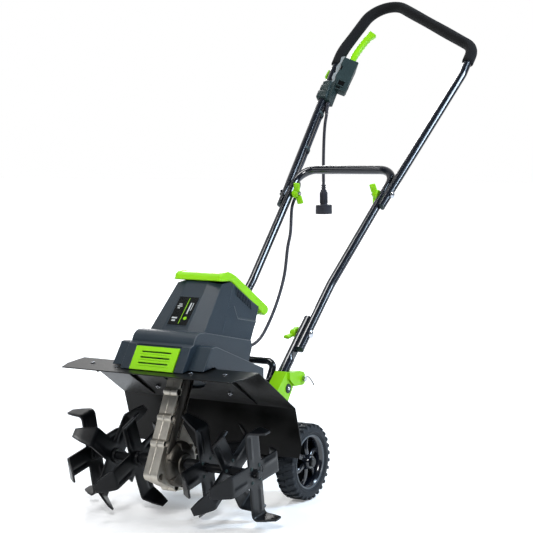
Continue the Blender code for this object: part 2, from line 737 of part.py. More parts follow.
def make_lock_pin(body):
    profile = [(73.2, 0), (73.2, 4), (113, 4), (113, 7), (118, 7), (118, 0)]
    body.add("lock_pin", turned(profile, 12, (0, LOCK_Y, LOCK_Z), ring=False), "zinc_steel")


# ---------------------------------------------------------------- handle

def make_middle_handle(body):
    """The lower hoop, whose legs are bolted outside the fixed tubes."""
    corners = []
    for side in (-1, 1):
        leg = [on_handle(side * MIDDLE_FOOT_X, 421), on_handle(side * MIDDLE_FOOT_X, 596),
               on_handle(side * (UPPER_MIDDLE_X + 6), 936)]
        corners.append(leg)
    left, right = corners
    bends = rounded(left + right[::-1], (200, 40, 40, 200), 4)
    presses = []
    for side in (-1, 1):
        presses.append((on_handle(side * MIDDLE_FOOT_X, LOWER_PIVOT), side * (LOWER_PRESS_X + GAP / 2), -side))
        presses.append((on_handle(side * UPPER_MIDDLE_X, UPPER_PIVOT), side * (UPPER_PRESS_X - GAP / 2), side))
    path = divided(bends, [pivot for pivot, _, _ in presses])
    hoop = body.add("middle_handle", swept(path, TUBE_R, TUBE_WALL, 8, presses), "tube_paint")
    for side in (-1, 1):
        combine(hoop, bolt_hole(side, LOWER_PIVOT))
        combine(hoop, bolt_hole(side, UPPER_PIVOT))


def upper_leg_x(along):
    return UPPER_LEG_X + UPPER_FLARE * (along - UPPER_PIVOT)


def upper_path():
    """The upper handle's centre line: two legs and a skewed loop, higher on the left."""
    corners = [on_handle(-upper_leg_x(823), 823), on_handle(-upper_leg_x(1270), 1270),
               on_handle(-183, 1350), on_handle(-148, 1558), on_handle(170, 1343),
               on_handle(upper_leg_x(1250), 1250), on_handle(upper_leg_x(823), 823)]
    return rounded(corners, (160, 200, 60, 56, 64), 5)


def clipped(path, low_first, low_last):
    """The part of a hoop's path above one height on its first leg and another on its last."""
    middle = len(path) // 2
    result = []
    for i, (first, second) in enumerate(zip(path, path[1:])):
        limit = low_first if i < middle else low_last
        if (first.z - limit) * (second.z - limit) < 0:
            result.append(first.lerp(second, (limit - first.z) / (second.z - first.z)))
        if second.z > limit:
            result.append(second)
    return result


def make_upper_handle(body):
    bends = upper_path()
    presses = []
    for side in (-1, 1):
        presses.append((on_handle(side * UPPER_LEG_X, UPPER_PIVOT), side * (UPPER_PRESS_X + GAP / 2), -side))
    path = divided(bends, [pivot for pivot, _, _ in presses])
    tube = body.add("upper_handle", swept(path, TUBE_R, TUBE_WALL, 8, presses), "tube_paint")
    for side in (-1, 1):
        combine(tube, bolt_hole(side, UPPER_PIVOT))
    grip = clipped(bends, on_handle(0, GRIP_LEFT).z, on_handle(0, GRIP_RIGHT).z)
    body.add("foam_grip", swept(grip, FOAM_R, FOAM_R - TUBE_R - 0.6, 8), "foam")


def make_knob(body, side, along, inner_x, name, turn):
    """A wing knob on the inboard end of a pivot bolt, with its wings turned from upright."""
    centre = on_handle(0, along)
    x = side * inner_x
    wing = Vector((0, math.sin(turn), math.cos(turn)))
    hub = turned([(x, BOLT_R + GAP), (x, 8.5), (x - side * 14, 7.5), (x - side * 14, BOLT_R + GAP)], 12, centre)
    knob = body.add(name, hub, "lime_plastic")
    for direction in (-1, 1):
        thick, reach = 3.2, 25
        outer = centre + wing * direction * reach
        blade = bmesh.new()
        bmesh.ops.create_cube(blade, size=1)
        length = reach - 6
        blade.transform(Matrix.Diagonal((11, thick * 2, length, 1)))
        blade.transform(Matrix.Rotation(-turn, 4, "X"))
        middle = centre.lerp(outer, (6 + length / 2) / reach)
        blade.transform(Matrix.Translation((x - side * 8.5, middle.y, middle.z)))
        combine(knob, blade, "UNION")
    return knob


def make_pivot_bolt(body, side, along, inner_x, outer_x, name):
    centre = on_handle(0, along)
    profile = [(inner_x, 0), (inner_x, BOLT_R), (outer_x, BOLT_R), (outer_x, 8), (outer_x + 3, 7),
               (outer_x + 4.5, 4), (outer_x + 4.5, 0)]
    body.add(name, turned([(side * x, r) for x, r in profile], 12, centre, ring=False), "zinc_steel")


# ---------------------------------------------------------------- switch and cords

def switch_frame():
    """The switch box's corner nearest the leg, and its along, across and deep directions."""
    foot, top = on_handle(-upper_leg_x(SWITCH_T0), SWITCH_T0), on_handle(-175.8, SWITCH_T0 + SWITCH_LENGTH)
    along = (top - foot).normalized()
    down = on_handle(0, 0, 1) - on_handle(0, 0, 0)
    across = (X_AXIS * math.cos(SWITCH_TURN) + down * math.sin(SWITCH_TURN)).normalized()
    across = (across - along * across.dot(along)).normalized()
    deep = across.cross(along).normalized()
    if deep.dot(down) < 0:
        deep = -deep
    return foot + X_AXIS * 18.5, along, across, deep


def switch_block(low, high):
    """A box given in the switch's own along, across and deep lengths."""
    corner, along, across, deep = switch_frame()
    shape = box(low, high)
    for vertex in shape.verts:
        vertex.co = corner + along * vertex.co.x + across * vertex.co.y + deep * vertex.co.z
    return shape


def leg_block(low, high, start, end):
    """A box beside the left leg: (x, off) corners from its centre line, between two stations."""
    shape = box((low[0], low[1], start), (high[0], high[1], end))
    for vertex in shape.verts:
        x, off, station = vertex.co
        vertex.co = on_handle(-upper_leg_x(station) + x, station, off)
    return shape


def make_switch(handle, lever, button):
    body_half = handle.add("switch_housing", switch_block((0, 0, 0), (SWITCH_LENGTH, 29, 17)), "black_plastic")
    combine(body_half, switch_block((4, 3, 3), (SWITCH_LENGTH - 4, 26, 20)))
    combine(body_half, switch_block((10, 15, -2), (28, 31, 6)))
    cover = handle.add("switch_cover", switch_block((0, 0, 17 + GAP), (SWITCH_LENGTH, 29, 35)), "black_plastic")
    combine(cover, switch_block((4, 3, 10), (SWITCH_LENGTH - 4, 26, 32)))
    tail_top = SWITCH_T0 - 2
    combine(body_half, leg_block((1, -6), (21, 17), TAIL_FOOT, tail_top), "UNION")
    combine(body_half, leg_block((10, 1), (20, 12), tail_top - 6, tail_top + 12), "UNION")
    leg = swept(upper_path(), clearing(TUBE_R, 12), 0, 12)
    combine(body_half, leg.copy())
    clamp = handle.add("switch_clamp", switch_block((14, -12, 2), (50, -GAP, 15)), "zinc_steel")
    combine(clamp, leg)
    button.add("lock_button", switch_block((13, 18, 1.5), (25, 29.8, 5.6)), "lime_plastic")
    combine(body_half, switch_block((12.7, 17, 1.2), (25.3, 31, 6)))
    slot = switch_block((SWITCH_LENGTH - 16, 3, 3), (SWITCH_LENGTH + 4, 25, 31))
    combine(body_half, slot.copy())
    combine(cover, slot)
    make_lever(lever)


def lever_path():
    """The start lever leaves the box's upper end and follows the grip's inner side."""
    corner, along, across, deep = switch_frame()
    start = corner + along * (SWITCH_LENGTH - 12) + across * 12.5 + deep * 14
    middle = on_handle(-146, 1352, 18.5)
    return [start, start + along * 13, middle.lerp(start + along * 13, 0.4), middle,
            on_handle(-135, 1380, 18.5), on_handle(-123.5, 1404, 18.5)]


def make_lever(body):
    deep = switch_frame()[3]
    path = lever_path()
    shape = bmesh.new()
    rows = []
    for i, point in enumerate(path):
        ahead = (path[min(i + 1, len(path) - 1)] - path[max(i - 1, 0)]).normalized()
        wide = deep - ahead * deep.dot(ahead)
        wide.normalize()
        thick = ahead.cross(wide).normalized()
        rows.append([shape.verts.new(point + wide * a * 9 + thick * b * 7)
                     for a, b in ((-1, -1), (1, -1), (1, 1), (-1, 1))])
    for first, second in zip(rows, rows[1:]):
        for k in range(4):
            nxt = (k + 1) % 4
            shape.faces.new((first[k], first[nxt], second[nxt], second[k]))
    shape.faces.new(rows[0])
    shape.faces.new(rows[-1])
    body.add("start_lever", shape, "lime_plastic")


def smooth_route(points, count):
    """Evenly spaced points on a smooth curve through the route's own points."""
    points = [Vector(point) for point in points]
    spans = []
    padded = [points[0] * 2 - points[1]] + points + [points[-1] * 2 - points[-2]]
    for a, b, c, d in zip(padded, padded[1:], padded[2:], padded[3:]):
        for k in range(12):
            t = k / 12
            spans.append(0.5 * (2 * b + (c - a) * t + (2 * a - 5 * b + 4 * c - d) * t * t
                                + (3 * b - a - 3 * c + d) * t ** 3))
    spans.append(points[-1])
    lengths = [0.0]
    for first, second in zip(spans, spans[1:]):
        lengths.append(lengths[-1] + (second - first).length)
    result = []
    step = 0
    for k in range(count):
        goal = lengths[-1] * k / (count - 1)
        while step < len(spans) - 2 and lengths[step + 1] < goal:
            step += 1
        share = (goal - lengths[step]) / (lengths[step + 1] - lengths[step])
        result.append(spans[step].lerp(spans[step + 1], share))
    return result


def make_cord(body, name, points, radius):
    """A cord as a curve with a round bevel and filled caps."""
    curve = bpy.data.curves.new(name, "CURVE")
    curve.dimensions = "3D"
    curve.bevel_depth = radius * MM
    curve.bevel_resolution = 2
    curve.use_fill_caps = True
    spline = curve.splines.new("POLY")
    spline.points.add(len(points) - 1)
    for slot, point in zip(spline.points, points):
        slot.co = (*((point - body.pivot) * MM), 1)
    if "cable_rubber" not in bpy.data.materials:
        make_finish("cable_rubber")
    curve.materials.append(bpy.data.materials["cable_rubber"])
    cord = bpy.data.objects.new(name, curve)
    bpy.context.scene.collection.objects.link(cord)
    cord.parent = body.empty
    return cord




def make_supply_lead(handle):
    """The short lead that hangs from the switch and ends in a shrouded plug."""
    leg_x = -upper_leg_x(TAIL_FOOT)
    mouth = on_handle(leg_x + 15, TAIL_FOOT - 1, 6)
    throat = on_handle(leg_x + 15, TAIL_FOOT - 7, 6)
    relief_end = Vector((PLUG_X + 4.5, PLUG_Y + 10, 757))
    bend = throat.lerp(relief_end, 0.5) + Vector((0, -2, -2))
    handle.add("cord_relief", swept([mouth, throat, bend, relief_end], 5.2, 0, 10), "cable_rubber")
    top = PLUG_TOP_Z
    route = [relief_end + (relief_end - bend).normalized() * GAP * 4, (PLUG_X + 3, PLUG_Y + 4.5, 732),
             (PLUG_X + 1.5, PLUG_Y + 2, 700), (PLUG_X + 0.5, PLUG_Y + 0.5, 660), (PLUG_X, PLUG_Y, 620),
             (PLUG_X, PLUG_Y, top + GAP)]
    make_cord(handle, "supply_lead", smooth_route(route, 14), CORD_R)
    profile = [(0, 0), (0, 5.5), (-4, 5.5), (-6, 4.2), (-10, 4.2), (-12, 7), (-16, 7), (-18, 9.5), (-22, 9.5),
               (-48, 8), (-48, 17), (-70, 18), (-70, 15.5), (-51, 14.5), (-51, 0)]
    down = Matrix.Translation((PLUG_X, PLUG_Y, top)) @ Matrix.Rotation(-math.pi / 2, 4, "Y")
    plug = turned(profile, 16, ring=False)
    plug.transform(down)
    plug = handle.add("plug", plug, "cable_rubber")
    for offset in (-5.5, 5.5):
        middle = PLUG_X + offset
        combine(plug, box((middle - 0.8, PLUG_Y - 3, top - 67), (middle + 0.8, PLUG_Y + 3, top - 50)), "UNION")


def make_motor_cable(chassis, middle, upper):
    """The cable from the switch down behind the left leg and across to the motor housing, in
    three lengths that meet end to end where the handle folds."""
    behind_leg = [on_handle(-upper_leg_x(t) + 4, t, 13.8) for t in (TAIL_FOOT - 1, 1140, 1080, 1020, 970)]
    behind_joint = [(-136, 935, 15), (-122, 906, 20), (-114, 872, 17.5), (-111, 836, 21)]
    route = behind_leg + [on_handle(*place) for place in behind_joint]
    route += [(-92, 590, 495), (-86, 567, 462), (-76, 535, 404), (-66, 488, 352), (-56, 432, 308),
              (-46, 380, 284), (-38, 322, 278), (-35, 270, 290), (-34, 230, 302),
              GLAND_END + Vector((0, 4 * GAP, 0.2))]
    points = smooth_route(route, 62)
    first_join = next(i for i, point in enumerate(points) if point.z < 592)
    second_join = next(i for i, point in enumerate(points) if point.z < 500)
    for body, name, start, end in ((upper, "motor_cable_top", 0, first_join),
                                   (middle, "motor_cable_middle", first_join, second_join),
                                   (chassis, "motor_cable_bottom", second_join, len(points) - 1)):
        stretch = [point.copy() for point in points[start:end + 1]]
        if start:
            stretch[0] = stretch[0] + (stretch[1] - stretch[0]).normalized() * 3 * GAP
        make_cord(body, name, stretch, CORD_R)


def make_grommet(chassis):
    """The tapered sleeve where the motor cable enters the housing."""
    start = Vector((-34, 176, 297))
    chassis.add("cable_gland", swept([start, start.lerp(GLAND_END, 0.5), GLAND_END], 6.5, 0, 10),
                "cable_rubber")


# ---------------------------------------------------------------- assembly

def main():
    clear_scene()
    chassis = Body("chassis")
    tine_body = Body("tine_shaft", (0, 0, SHAFT_Z), chassis)
    armature = Body("armature", (0, *on_motor(-WORM_OFFSET, 0)), chassis)
    wheel_frame = Body("wheel_frame", (0, ADJUSTER_Y, ADJUSTER_Z), chassis)
    middle = Body("middle_handle", on_handle(0, LOWER_PIVOT), chassis)
    upper = Body("upper_handle", on_handle(0, UPPER_PIVOT), middle)
    corner, along, across, deep = switch_frame()
    lever = Body("start_lever", corner + along * (SWITCH_LENGTH - 8) + across * 14.5 + deep * 14, upper)
    button = Body("lock_button", corner + along * 19 + across * 24 + deep * 3, upper)
    make_deck(chassis)
    make_housing(chassis)
    make_gear_case(chassis)
    make_motor(chassis, armature)
    make_rear_frame(chassis)
    make_grommet(chassis)
    make_tines(tine_body)
    make_wheel_frame(wheel_frame)
    make_middle_handle(middle)
    make_upper_handle(upper)
    make_switch(upper, lever, button)
    make_supply_lead(upper)
    make_motor_cable(chassis, middle, upper)
    make_lock_pin(Body("lock_pin", (0, LOCK_Y, LOCK_Z), chassis))
    for side, word in ((-1, "left"), (1, "right")):
        make_wheel(Body("wheel_" + word, (side * WHEEL_X, WHEEL_Y, WHEEL_R), wheel_frame), side, word)
        low = Body("lower_knob_" + word, on_handle(0, LOWER_PIVOT), middle)
        make_knob(low, side, LOWER_PIVOT, LOWER_TUBE_X - LOWER_TUBE_R - 0.8, "lower_knob_" + word,
                  LOWER_KNOB_TURN)
        make_pivot_bolt(middle, side, LOWER_PIVOT, 58, MIDDLE_FOOT_X + TUBE_R + 0.6, "lower_bolt_" + word)
        high = Body("upper_knob_" + word, on_handle(0, UPPER_PIVOT), middle)
        make_knob(high, side, UPPER_PIVOT, UPPER_MIDDLE_X - TUBE_R - 1.2, "upper_knob_" + word,
                  UPPER_KNOB_TURN)
        make_pivot_bolt(middle, side, UPPER_PIVOT, 90, UPPER_LEG_X + TUBE_R + 1.4, "upper_bolt_" + word)


main()
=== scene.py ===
"""The looks of a corded electric garden tiller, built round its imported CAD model.

Shapes are modelled in millimetres in the design frame of the CAD: X to the right, Y back
towards the handle with Y = 0 at the tine shaft, Z up. `piece` turns them into metres.
"""

import json
import math

import bmesh
import bpy
from mathutils import Matrix, Quaternion, Vector


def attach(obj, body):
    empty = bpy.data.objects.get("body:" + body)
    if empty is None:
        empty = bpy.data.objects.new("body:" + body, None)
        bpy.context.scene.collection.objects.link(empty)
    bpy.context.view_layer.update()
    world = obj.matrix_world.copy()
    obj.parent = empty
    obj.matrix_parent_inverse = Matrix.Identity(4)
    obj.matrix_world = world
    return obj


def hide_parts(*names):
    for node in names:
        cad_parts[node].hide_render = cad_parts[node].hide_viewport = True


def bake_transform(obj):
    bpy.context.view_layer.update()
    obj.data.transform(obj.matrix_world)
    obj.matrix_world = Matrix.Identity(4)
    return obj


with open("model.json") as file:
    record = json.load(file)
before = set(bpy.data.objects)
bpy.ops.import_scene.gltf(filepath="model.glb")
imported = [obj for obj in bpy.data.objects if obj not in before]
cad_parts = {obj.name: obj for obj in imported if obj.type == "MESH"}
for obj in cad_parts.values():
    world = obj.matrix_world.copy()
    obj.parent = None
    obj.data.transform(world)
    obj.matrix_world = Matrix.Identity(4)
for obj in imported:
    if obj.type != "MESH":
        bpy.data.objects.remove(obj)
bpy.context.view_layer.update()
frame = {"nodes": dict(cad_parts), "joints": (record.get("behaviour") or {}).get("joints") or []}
NODES = frame["nodes"]
JOINTS = {joint["name"]: joint for joint in frame["joints"]}

MM = 0.001
X_AXIS = Vector((1, 0, 0))
Z_AXIS = Vector((0, 0, 1))
SIDES = ((-1, "left"), (1, "right"))
SHAFT = Vector(JOINTS["tine_spin"]["pos_m"])
TO_FRAME = Matrix.Translation((0, SHAFT.y, 0)) @ Matrix.Scale(MM, 4)


def design(position):
    """A point of the frame, in metres, as a point in the design frame, in millimetres."""
    return TO_FRAME.inverted() @ Vector(position)


# The handle leans in one plane; lengths along it count up from a point below the lower pivot.
LOWER_PIVOT = design(JOINTS["lower_fold"]["pos_m"])
UPPER_PIVOT = design(JOINTS["upper_fold"]["pos_m"])
UP_HANDLE = (UPPER_PIVOT - LOWER_PIVOT).normalized()
BEHIND = Vector((0, UP_HANDLE.z, -UP_HANDLE.y))
LOWER_ALONG = 463.0
UPPER_ALONG = 860.0
MOTOR_AXIS = Vector(JOINTS["armature_spin"]["axis"]).normalized()
MOTOR_LEAN = math.atan2(MOTOR_AXIS.y, MOTOR_AXIS.z)
SHAFT_Z = SHAFT.z / MM
WHEEL = design(JOINTS["wheel_right_spin"]["pos_m"])
WHEEL_X = abs(WHEEL.x)
WHEEL_R = WHEEL.z
ADJUSTER = design(JOINTS["wheel_height"]["pos_m"])

# Tube radii, where each leg is from side to side, and where the tubes are pressed flat at a pivot.
TUBE_R = 9.5
LOWER_TUBE_R = 10.5
LOWER_TUBE_X = 84.5
MIDDLE_FOOT_X = 96.0
UPPER_MIDDLE_X = 118.0
UPPER_LEG_X = 129.5
UPPER_FLARE = 0.112
UPPER_FOOT = 823.0
LOWER_PRESS_X = 90.25
UPPER_PRESS_X = 123.75
PRESS_GAP = 0.2
PRESSED_LENGTH = 62.0
PRESS_EASE = 12.0
FOAM_R = 13.5
CORD_R = 3.6
LOCK_Y = 301.0
LOCK_Z = 227.0


def on_handle(x, along, off=0.0):
    """A point in the leaning plane of the handle: across, along and behind it."""
    return LOWER_PIVOT + X_AXIS * x + UP_HANDLE * (along - LOWER_ALONG) + BEHIND * off


def on_motor(x, off, along):
    """A point by the motor's lean: along it from the tine shaft, and off it rearwards."""
    sine, cosine = math.sin(MOTOR_LEAN), math.cos(MOTOR_LEAN)
    return Vector((x, along * sine + off * cosine, SHAFT_Z + along * cosine - off * sine))


def upper_leg_x(along):
    return UPPER_LEG_X + UPPER_FLARE * (along - UPPER_ALONG)


# ---------------------------------------------------------------- materials

def node(tree, kind, inputs=None, **settings):
    """A node with its settings, each input linked to a socket or given a value."""
    made = tree.nodes.new(kind)
    for key, value in settings.items():
        setattr(made, key, value)
    feed(tree, made, inputs or {})
    return made


def feed(tree, made, inputs):
    for key, value in inputs.items():
        if isinstance(value, bpy.types.NodeSocket):
            tree.links.new(value, made.inputs[key])
        else:
            made.inputs[key].default_value = value


def noise(tree, place, scale, detail, roughness):
    inputs = {"Vector": place, "Scale": scale, "Detail": detail, "Roughness": roughness}
    return node(tree, "ShaderNodeTexNoise", inputs).outputs["Fac"]


def ramp(tree, value, low, dark, high, light):
    """A blend from one colour at a low value to another at a high one."""
    made = node(tree, "ShaderNodeValToRGB", {"Fac": value})
    for stop, position, colour in zip(made.color_ramp.elements, (low, high), (dark, light)):
        stop.position, stop.color = position, (*colour, 1)
    return made.outputs["Color"]


def maths(tree, operation, *values):
    return node(tree, "ShaderNodeMath", dict(enumerate(values)), operation=operation).outputs[0]


def material(name, colour, roughness, metallic=0.0, patch=(35, 0.12), grain=(900, 0.12), spread=0.08,
             specular=0.3, sheen=0.0, worn=None):
    """A surface whose colour and gloss vary in soft patches and whose relief is a fine grain."""
    made = bpy.data.materials.new(name)
    made.use_nodes = True
    tree = made.node_tree
    place = node(tree, "ShaderNodeTexCoord").outputs["Object"]
    patches = noise(tree, place, patch[0], 5.0, 0.6)
    fine = noise(tree, place, grain[0], 3.0, 0.55)
    dark = [channel * (1 - patch[1]) for channel in colour]
    light = [min(1.0, channel * (1 + patch[1])) for channel in colour]
    surface = ramp(tree, patches, 0.3, dark, 0.7, light)
    if worn:
        edge = node(tree, "ShaderNodeNewGeometry").outputs["Pointiness"]
        wear = ramp(tree, edge, 0.53, (0, 0, 0), 0.60, (1, 1, 1))
        mixed = node(tree, "ShaderNodeMix", data_type="RGBA")
        feed(tree, mixed, {"Factor": maths(tree, "MULTIPLY", wear, patches), "A": surface, "B": (*worn, 1)})
        surface = mixed.outputs["Result"]
    halved = maths(tree, "MULTIPLY", maths(tree, "ADD", patches, fine), 0.5)
    gloss = node(tree, "ShaderNodeMapRange", {
        "Value": halved, "To Min": max(0.03, roughness - spread), "To Max": min(1.0, roughness + spread)})
    bump = node(tree, "ShaderNodeBump", {"Height": fine, "Strength": grain[1], "Distance": 0.0006})
    feed(tree, tree.nodes["Principled BSDF"], {
        "Base Color": surface, "Roughness": gloss.outputs["Result"], "Normal": bump.outputs["Normal"],
        "Metallic": metallic, "Specular IOR Level": specular, "Coat Roughness": 0.08, "Sheen Weight": sheen})
    return made


FINISHES = {name: material(name, colour, roughness, metallic, patch, grain, **rest)
            for name, colour, roughness, metallic, patch, grain, rest in (
    ("lime_plastic", (0.22, 0.53, 0.004), 0.34, 0, (12, 0.06), (1400, 0.10), {"specular": 0.22}),
    ("housing_plastic", (0.0115, 0.0205, 0.0295), 0.40, 0, (9, 0.12), (1600, 0.30), {"specular": 0.36}),
    # Painted highlight: a lighter plastic for beads and rings along edges, where light glints.
    ("painted_highlight_plastic", (0.075, 0.085, 0.095), 0.30, 0, (12, 0.2), (1600, 0.2), {"specular": 0.4}),
    ("black_plastic", (0.013, 0.025, 0.025), 0.45, 0, (14, 0.15), (1500, 0.30), {"specular": 0.25}),
    ("deck_paint", (0.0022, 0.0022, 0.002), 0.30, 0, (7, 0.2), (320, 0.10), {"specular": 0.16}),
    ("tube_paint", (0.003, 0.004, 0.0075), 0.18, 0, (16, 0.2), (420, 0.012),
     {"spread": 0.04, "specular": 0.75}),
    ("tine_paint", (0.0022, 0.0026, 0.0034), 0.33, 0, (22, 0.3), (500, 0.18),
     {"spread": 0.12, "specular": 0.24, "worn": (0.035, 0.035, 0.037)}),
    ("cast_aluminium", (0.54, 0.505, 0.44), 0.46, 1, (28, 0.2), (700, 0.6), {"spread": 0.14}),
    # A darker copy of cast_aluminium: painted shade on the gear case's bulges and ribs.
    ("cast_aluminium_painted_shade", (0.075, 0.069, 0.060), 0.42, 1, (28, 0.25), (700, 0.6), {"spread": 0.14}),
    ("zinc_steel", (0.50, 0.51, 0.53), 0.24, 1, (40, 0.12), (800, 0.10), {}),
    ("plate_steel", (0.30, 0.31, 0.30), 0.5, 0.6, (40, 0.2), (500, 0.3), {}),
    ("bronze", (0.55, 0.36, 0.16), 0.36, 1, (40, 0.14), (800, 0.12), {}),
    # A dark brownish metal: painted shade on the bronze shaft bushings, and the lock pin's wire in dark
    # steel.
    ("dark_steel_and_painted_shade", (0.05, 0.045, 0.038), 0.34, 1, (40, 0.14), (800, 0.12), {}),
    ("copper", (0.70, 0.30, 0.14), 0.36, 1, (60, 0.2), (600, 0.4), {}),
    ("foam", (0.0045, 0.0045, 0.005), 0.88, 0, (30, 0.3), (1300, 0.65), {"sheen": 0.04, "specular": 0.15}),
    ("cable_rubber", (0.017, 0.017, 0.024), 0.46, 0, (25, 0.15), (1100, 0.2), {}),
    ("tyre_rubber", (0.012, 0.015, 0.019), 0.60, 0, (18, 0.25), (900, 0.35), {"specular": 0.22}),
    ("badge", (0.004, 0.0045, 0.0045), 0.28, 0, (10, 0.2), (900, 0.05), {"specular": 0.2}),
    ("badge_print", (0.42, 0.44, 0.44), 0.4, 0, (60, 0.06), (900, 0.05), {}),
    # Painted shade: a near-black finish for sheets and fills where vents, recesses and the wheel's hollow lie
    # in shadow.
    ("painted_shade", (0.002, 0.002, 0.002), 0.8, 0, (20, 0.3), (600, 0.3), {"specular": 0.05}),
    ("screw_black", (0.004, 0.004, 0.0045), 0.35, 0, (60, 0.2), (900, 0.2), {}),
)}
# The record's slot for each finish that it doesn't list itself.
SLOT_OF = {"painted_highlight_plastic": "housing_plastic", "cast_aluminium_painted_shade": "cast_aluminium", "screw_black": "zinc_steel",
           "plate_steel": "zinc_steel", "dark_steel_and_painted_shade": "bronze", "painted_shade": "badge",
           "badge_print": "badge"}


# ---------------------------------------------------------------- pieces

def scene_object(name, data):
    item = bpy.data.objects.new(name, data)
    bpy.context.scene.collection.objects.link(item)
    return item


def mesh_from(name, shape):
    """A bmesh as a mesh; the bmesh is used up."""
    mesh = bpy.data.meshes.new(name)
    shape.to_mesh(mesh)
    shape.free()
    return mesh


def smoothed(mesh, sharp):
    mesh.shade_smooth()
    mesh.set_sharp_from_angle(angle=math.radians(sharp))


def round_edges(item, width, segments, limit):
    rounding = item.modifiers.new("rounding", "BEVEL")
    rounding.width = width * MM
    rounding.segments = segments
    rounding.limit_method = "ANGLE"
    rounding.angle_limit = math.radians(limit)
    return rounding


def piece(name, shape, body, finish, stands_for=(), bevel=0.0, segments=2, sharp=32, limit=30, slot=None):
    """A bmesh in design millimetres becomes an object that rides on a CAD body."""
    shape.transform(TO_FRAME)
    bmesh.ops.remove_doubles(shape, verts=shape.verts, dist=1e-6)
    bmesh.ops.recalc_face_normals(shape, faces=shape.faces)
    item = scene_object(name, mesh_from(name, shape))
    item.data.materials.append(FINISHES[finish])
    if bevel:
        round_edges(item, bevel, segments, limit).harden_normals = True
    smoothed(item.data, sharp)
    if body:
        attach(item, body)
    if stands_for:
        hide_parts(*stands_for)
    slot or SLOT_OF.get(finish, finish)
    return item


def refined(nodes, body, finish, bevel, **options):
    """Each named CAD node's own shape, its flat faces whole again, with rounded edges."""
    pieces = []
    for name in nodes:
        shape = bmesh.new()
        shape.from_mesh(NODES[name].data)
        bmesh.ops.remove_doubles(shape, verts=shape.verts, dist=2e-6)
        bmesh.ops.dissolve_limit(shape, angle_limit=math.radians(1.0), verts=shape.verts, edges=shape.edges)
        shape.transform(TO_FRAME.inverted())
        pieces.append(piece(name + "_body", shape, body, finish, (name,), bevel, **options))
    return pieces


def joined(*shapes):
    """Several closed shapes in one bmesh."""
    whole = bmesh.new()
    for shape in shapes:
        scratch = mesh_from("scratch", shape)
        whole.from_mesh(scratch)
        bpy.data.meshes.remove(scratch)
    return whole


def cut(item, tool):
    """Takes a bmesh in design millimetres off a piece, before its rounding."""
    tool.transform(TO_FRAME)
    bmesh.ops.recalc_face_normals(tool, faces=tool.faces)
    if tool.calc_volume(signed=True) < 0:
        bmesh.ops.reverse_faces(tool, faces=tool.faces)
    other = scene_object("tool", mesh_from("tool", tool))
    others = list(item.modifiers)
    for modifier in others:
        modifier.show_viewport = False
    change = item.modifiers.new("cut", "BOOLEAN")
    change.object = other
    change.operation = "DIFFERENCE"
    change.solver = "EXACT"
    bpy.context.view_layer.update()
    depsgraph = bpy.context.evaluated_depsgraph_get()
    result = bpy.data.meshes.new_from_object(item.evaluated_get(depsgraph), depsgraph=depsgraph)
    item.modifiers.remove(change)
    for modifier in others:
        modifier.show_viewport = True
    old, item.data = item.data, result
    used = other.data
    bpy.data.objects.remove(other)
    for mesh in (old, used):
        bpy.data.meshes.remove(mesh)
    smoothed(item.data, 32)


# ---------------------------------------------------------------- shapes

def band(shape, first, second):
    """Faces between two closed rows of vertices; a row may be one vertex over and over."""
    for corners in zip(first, first[1:] + first[:1], second[1:] + second[:1], second):
        shape.faces.new(list(dict.fromkeys(corners)))


def lofted(rows):
    """A closed solid through rows of points, flat at its two ends."""
    shape = bmesh.new()
    rings = [[shape.verts.new(point) for point in row] for row in rows]
    for first, second in zip(rings, rings[1:]):
        band(shape, first, second)
    shape.faces.new(rings[0])
    shape.faces.new(rings[-1])
    return shape


def prism(outline, low_x, high_x):
    """A (y, z) outline extruded from low_x to high_x."""
    return lofted([[(x, y, z) for y, z in outline] for x in (low_x, high_x)])


def plank(middle, across, along, through, size, chamfer=0.0):
    """A box of (across, along, through) size round a point, with its own directions."""
    shape = bmesh.new()
    bmesh.ops.create_cube(shape, size=1)
    shape.transform(Matrix.Diagonal((*size, 1)))
    if chamfer:
        bmesh.ops.bevel(shape, geom=shape.edges[:], offset=chamfer, segments=2, profile=0.5, affect="EDGES")
    for vertex in shape.verts:
        a, b, c = vertex.co
        vertex.co = middle + across * a + along * b + through * c
    return shape


def box(low, high, axes=Matrix.Identity(3), origin=Vector(), chamfer=0.0):
    """A box between two corners, given in the axes' own directions from an origin."""
    low, high = Vector(low), Vector(high)
    middle = (low + high) / 2
    spot = origin + axes[0] * middle.x + axes[1] * middle.y + axes[2] * middle.z
    return plank(spot, *axes, high - low, chamfer)


def slab_maker(middle, up, out):
    """Makes slabs on a sloping face, each from its x, its rise up the face, its lift off the
    face and its (across, up, out) size."""
    def slab(x, rise, lift, size, chamfer=0.0):
        return plank(middle + X_AXIS * x + up * rise + out * lift, X_AXIS, up, out, size, chamfer)
    return slab


def turned(profile, segments=32, place=None, ring=False):
    """A profile of (x, radius) points turned about X and put in place; a ring's is closed."""
    shape = bmesh.new()
    angles = [2 * math.pi * k / segments for k in range(segments)]
    rows = []
    for x, radius in profile:
        if radius:
            circle = [(x, radius * math.cos(a), radius * math.sin(a)) for a in angles]
            rows.append([shape.verts.new(point) for point in circle])
        else:
            rows.append([shape.verts.new((x, 0, 0))] * segments)
    for first, second in zip(rows, rows[1:] + (rows[:1] if ring else [])):
        band(shape, first, second)
    if place is not None:
        shape.transform(place)
    return shape


def sleeve(low, high, inner, outer, place=None, segments=32):
    """A plain tube along X."""
    return turned([(low, inner), (low, outer), (high, outer), (high, inner)], segments, place, ring=True)


def pointing(start, direction):
    """A placement that turns X into a direction."""
    turn = X_AXIS.rotation_difference(Vector(direction)).to_matrix().to_4x4()
    return Matrix.Translation(Vector(start)) @ turn


def outboard(side, point):
    """A placement at a point, with X towards that side of the machine."""
    return Matrix.Translation(point) @ Matrix.Diagonal((side, 1, 1, 1))


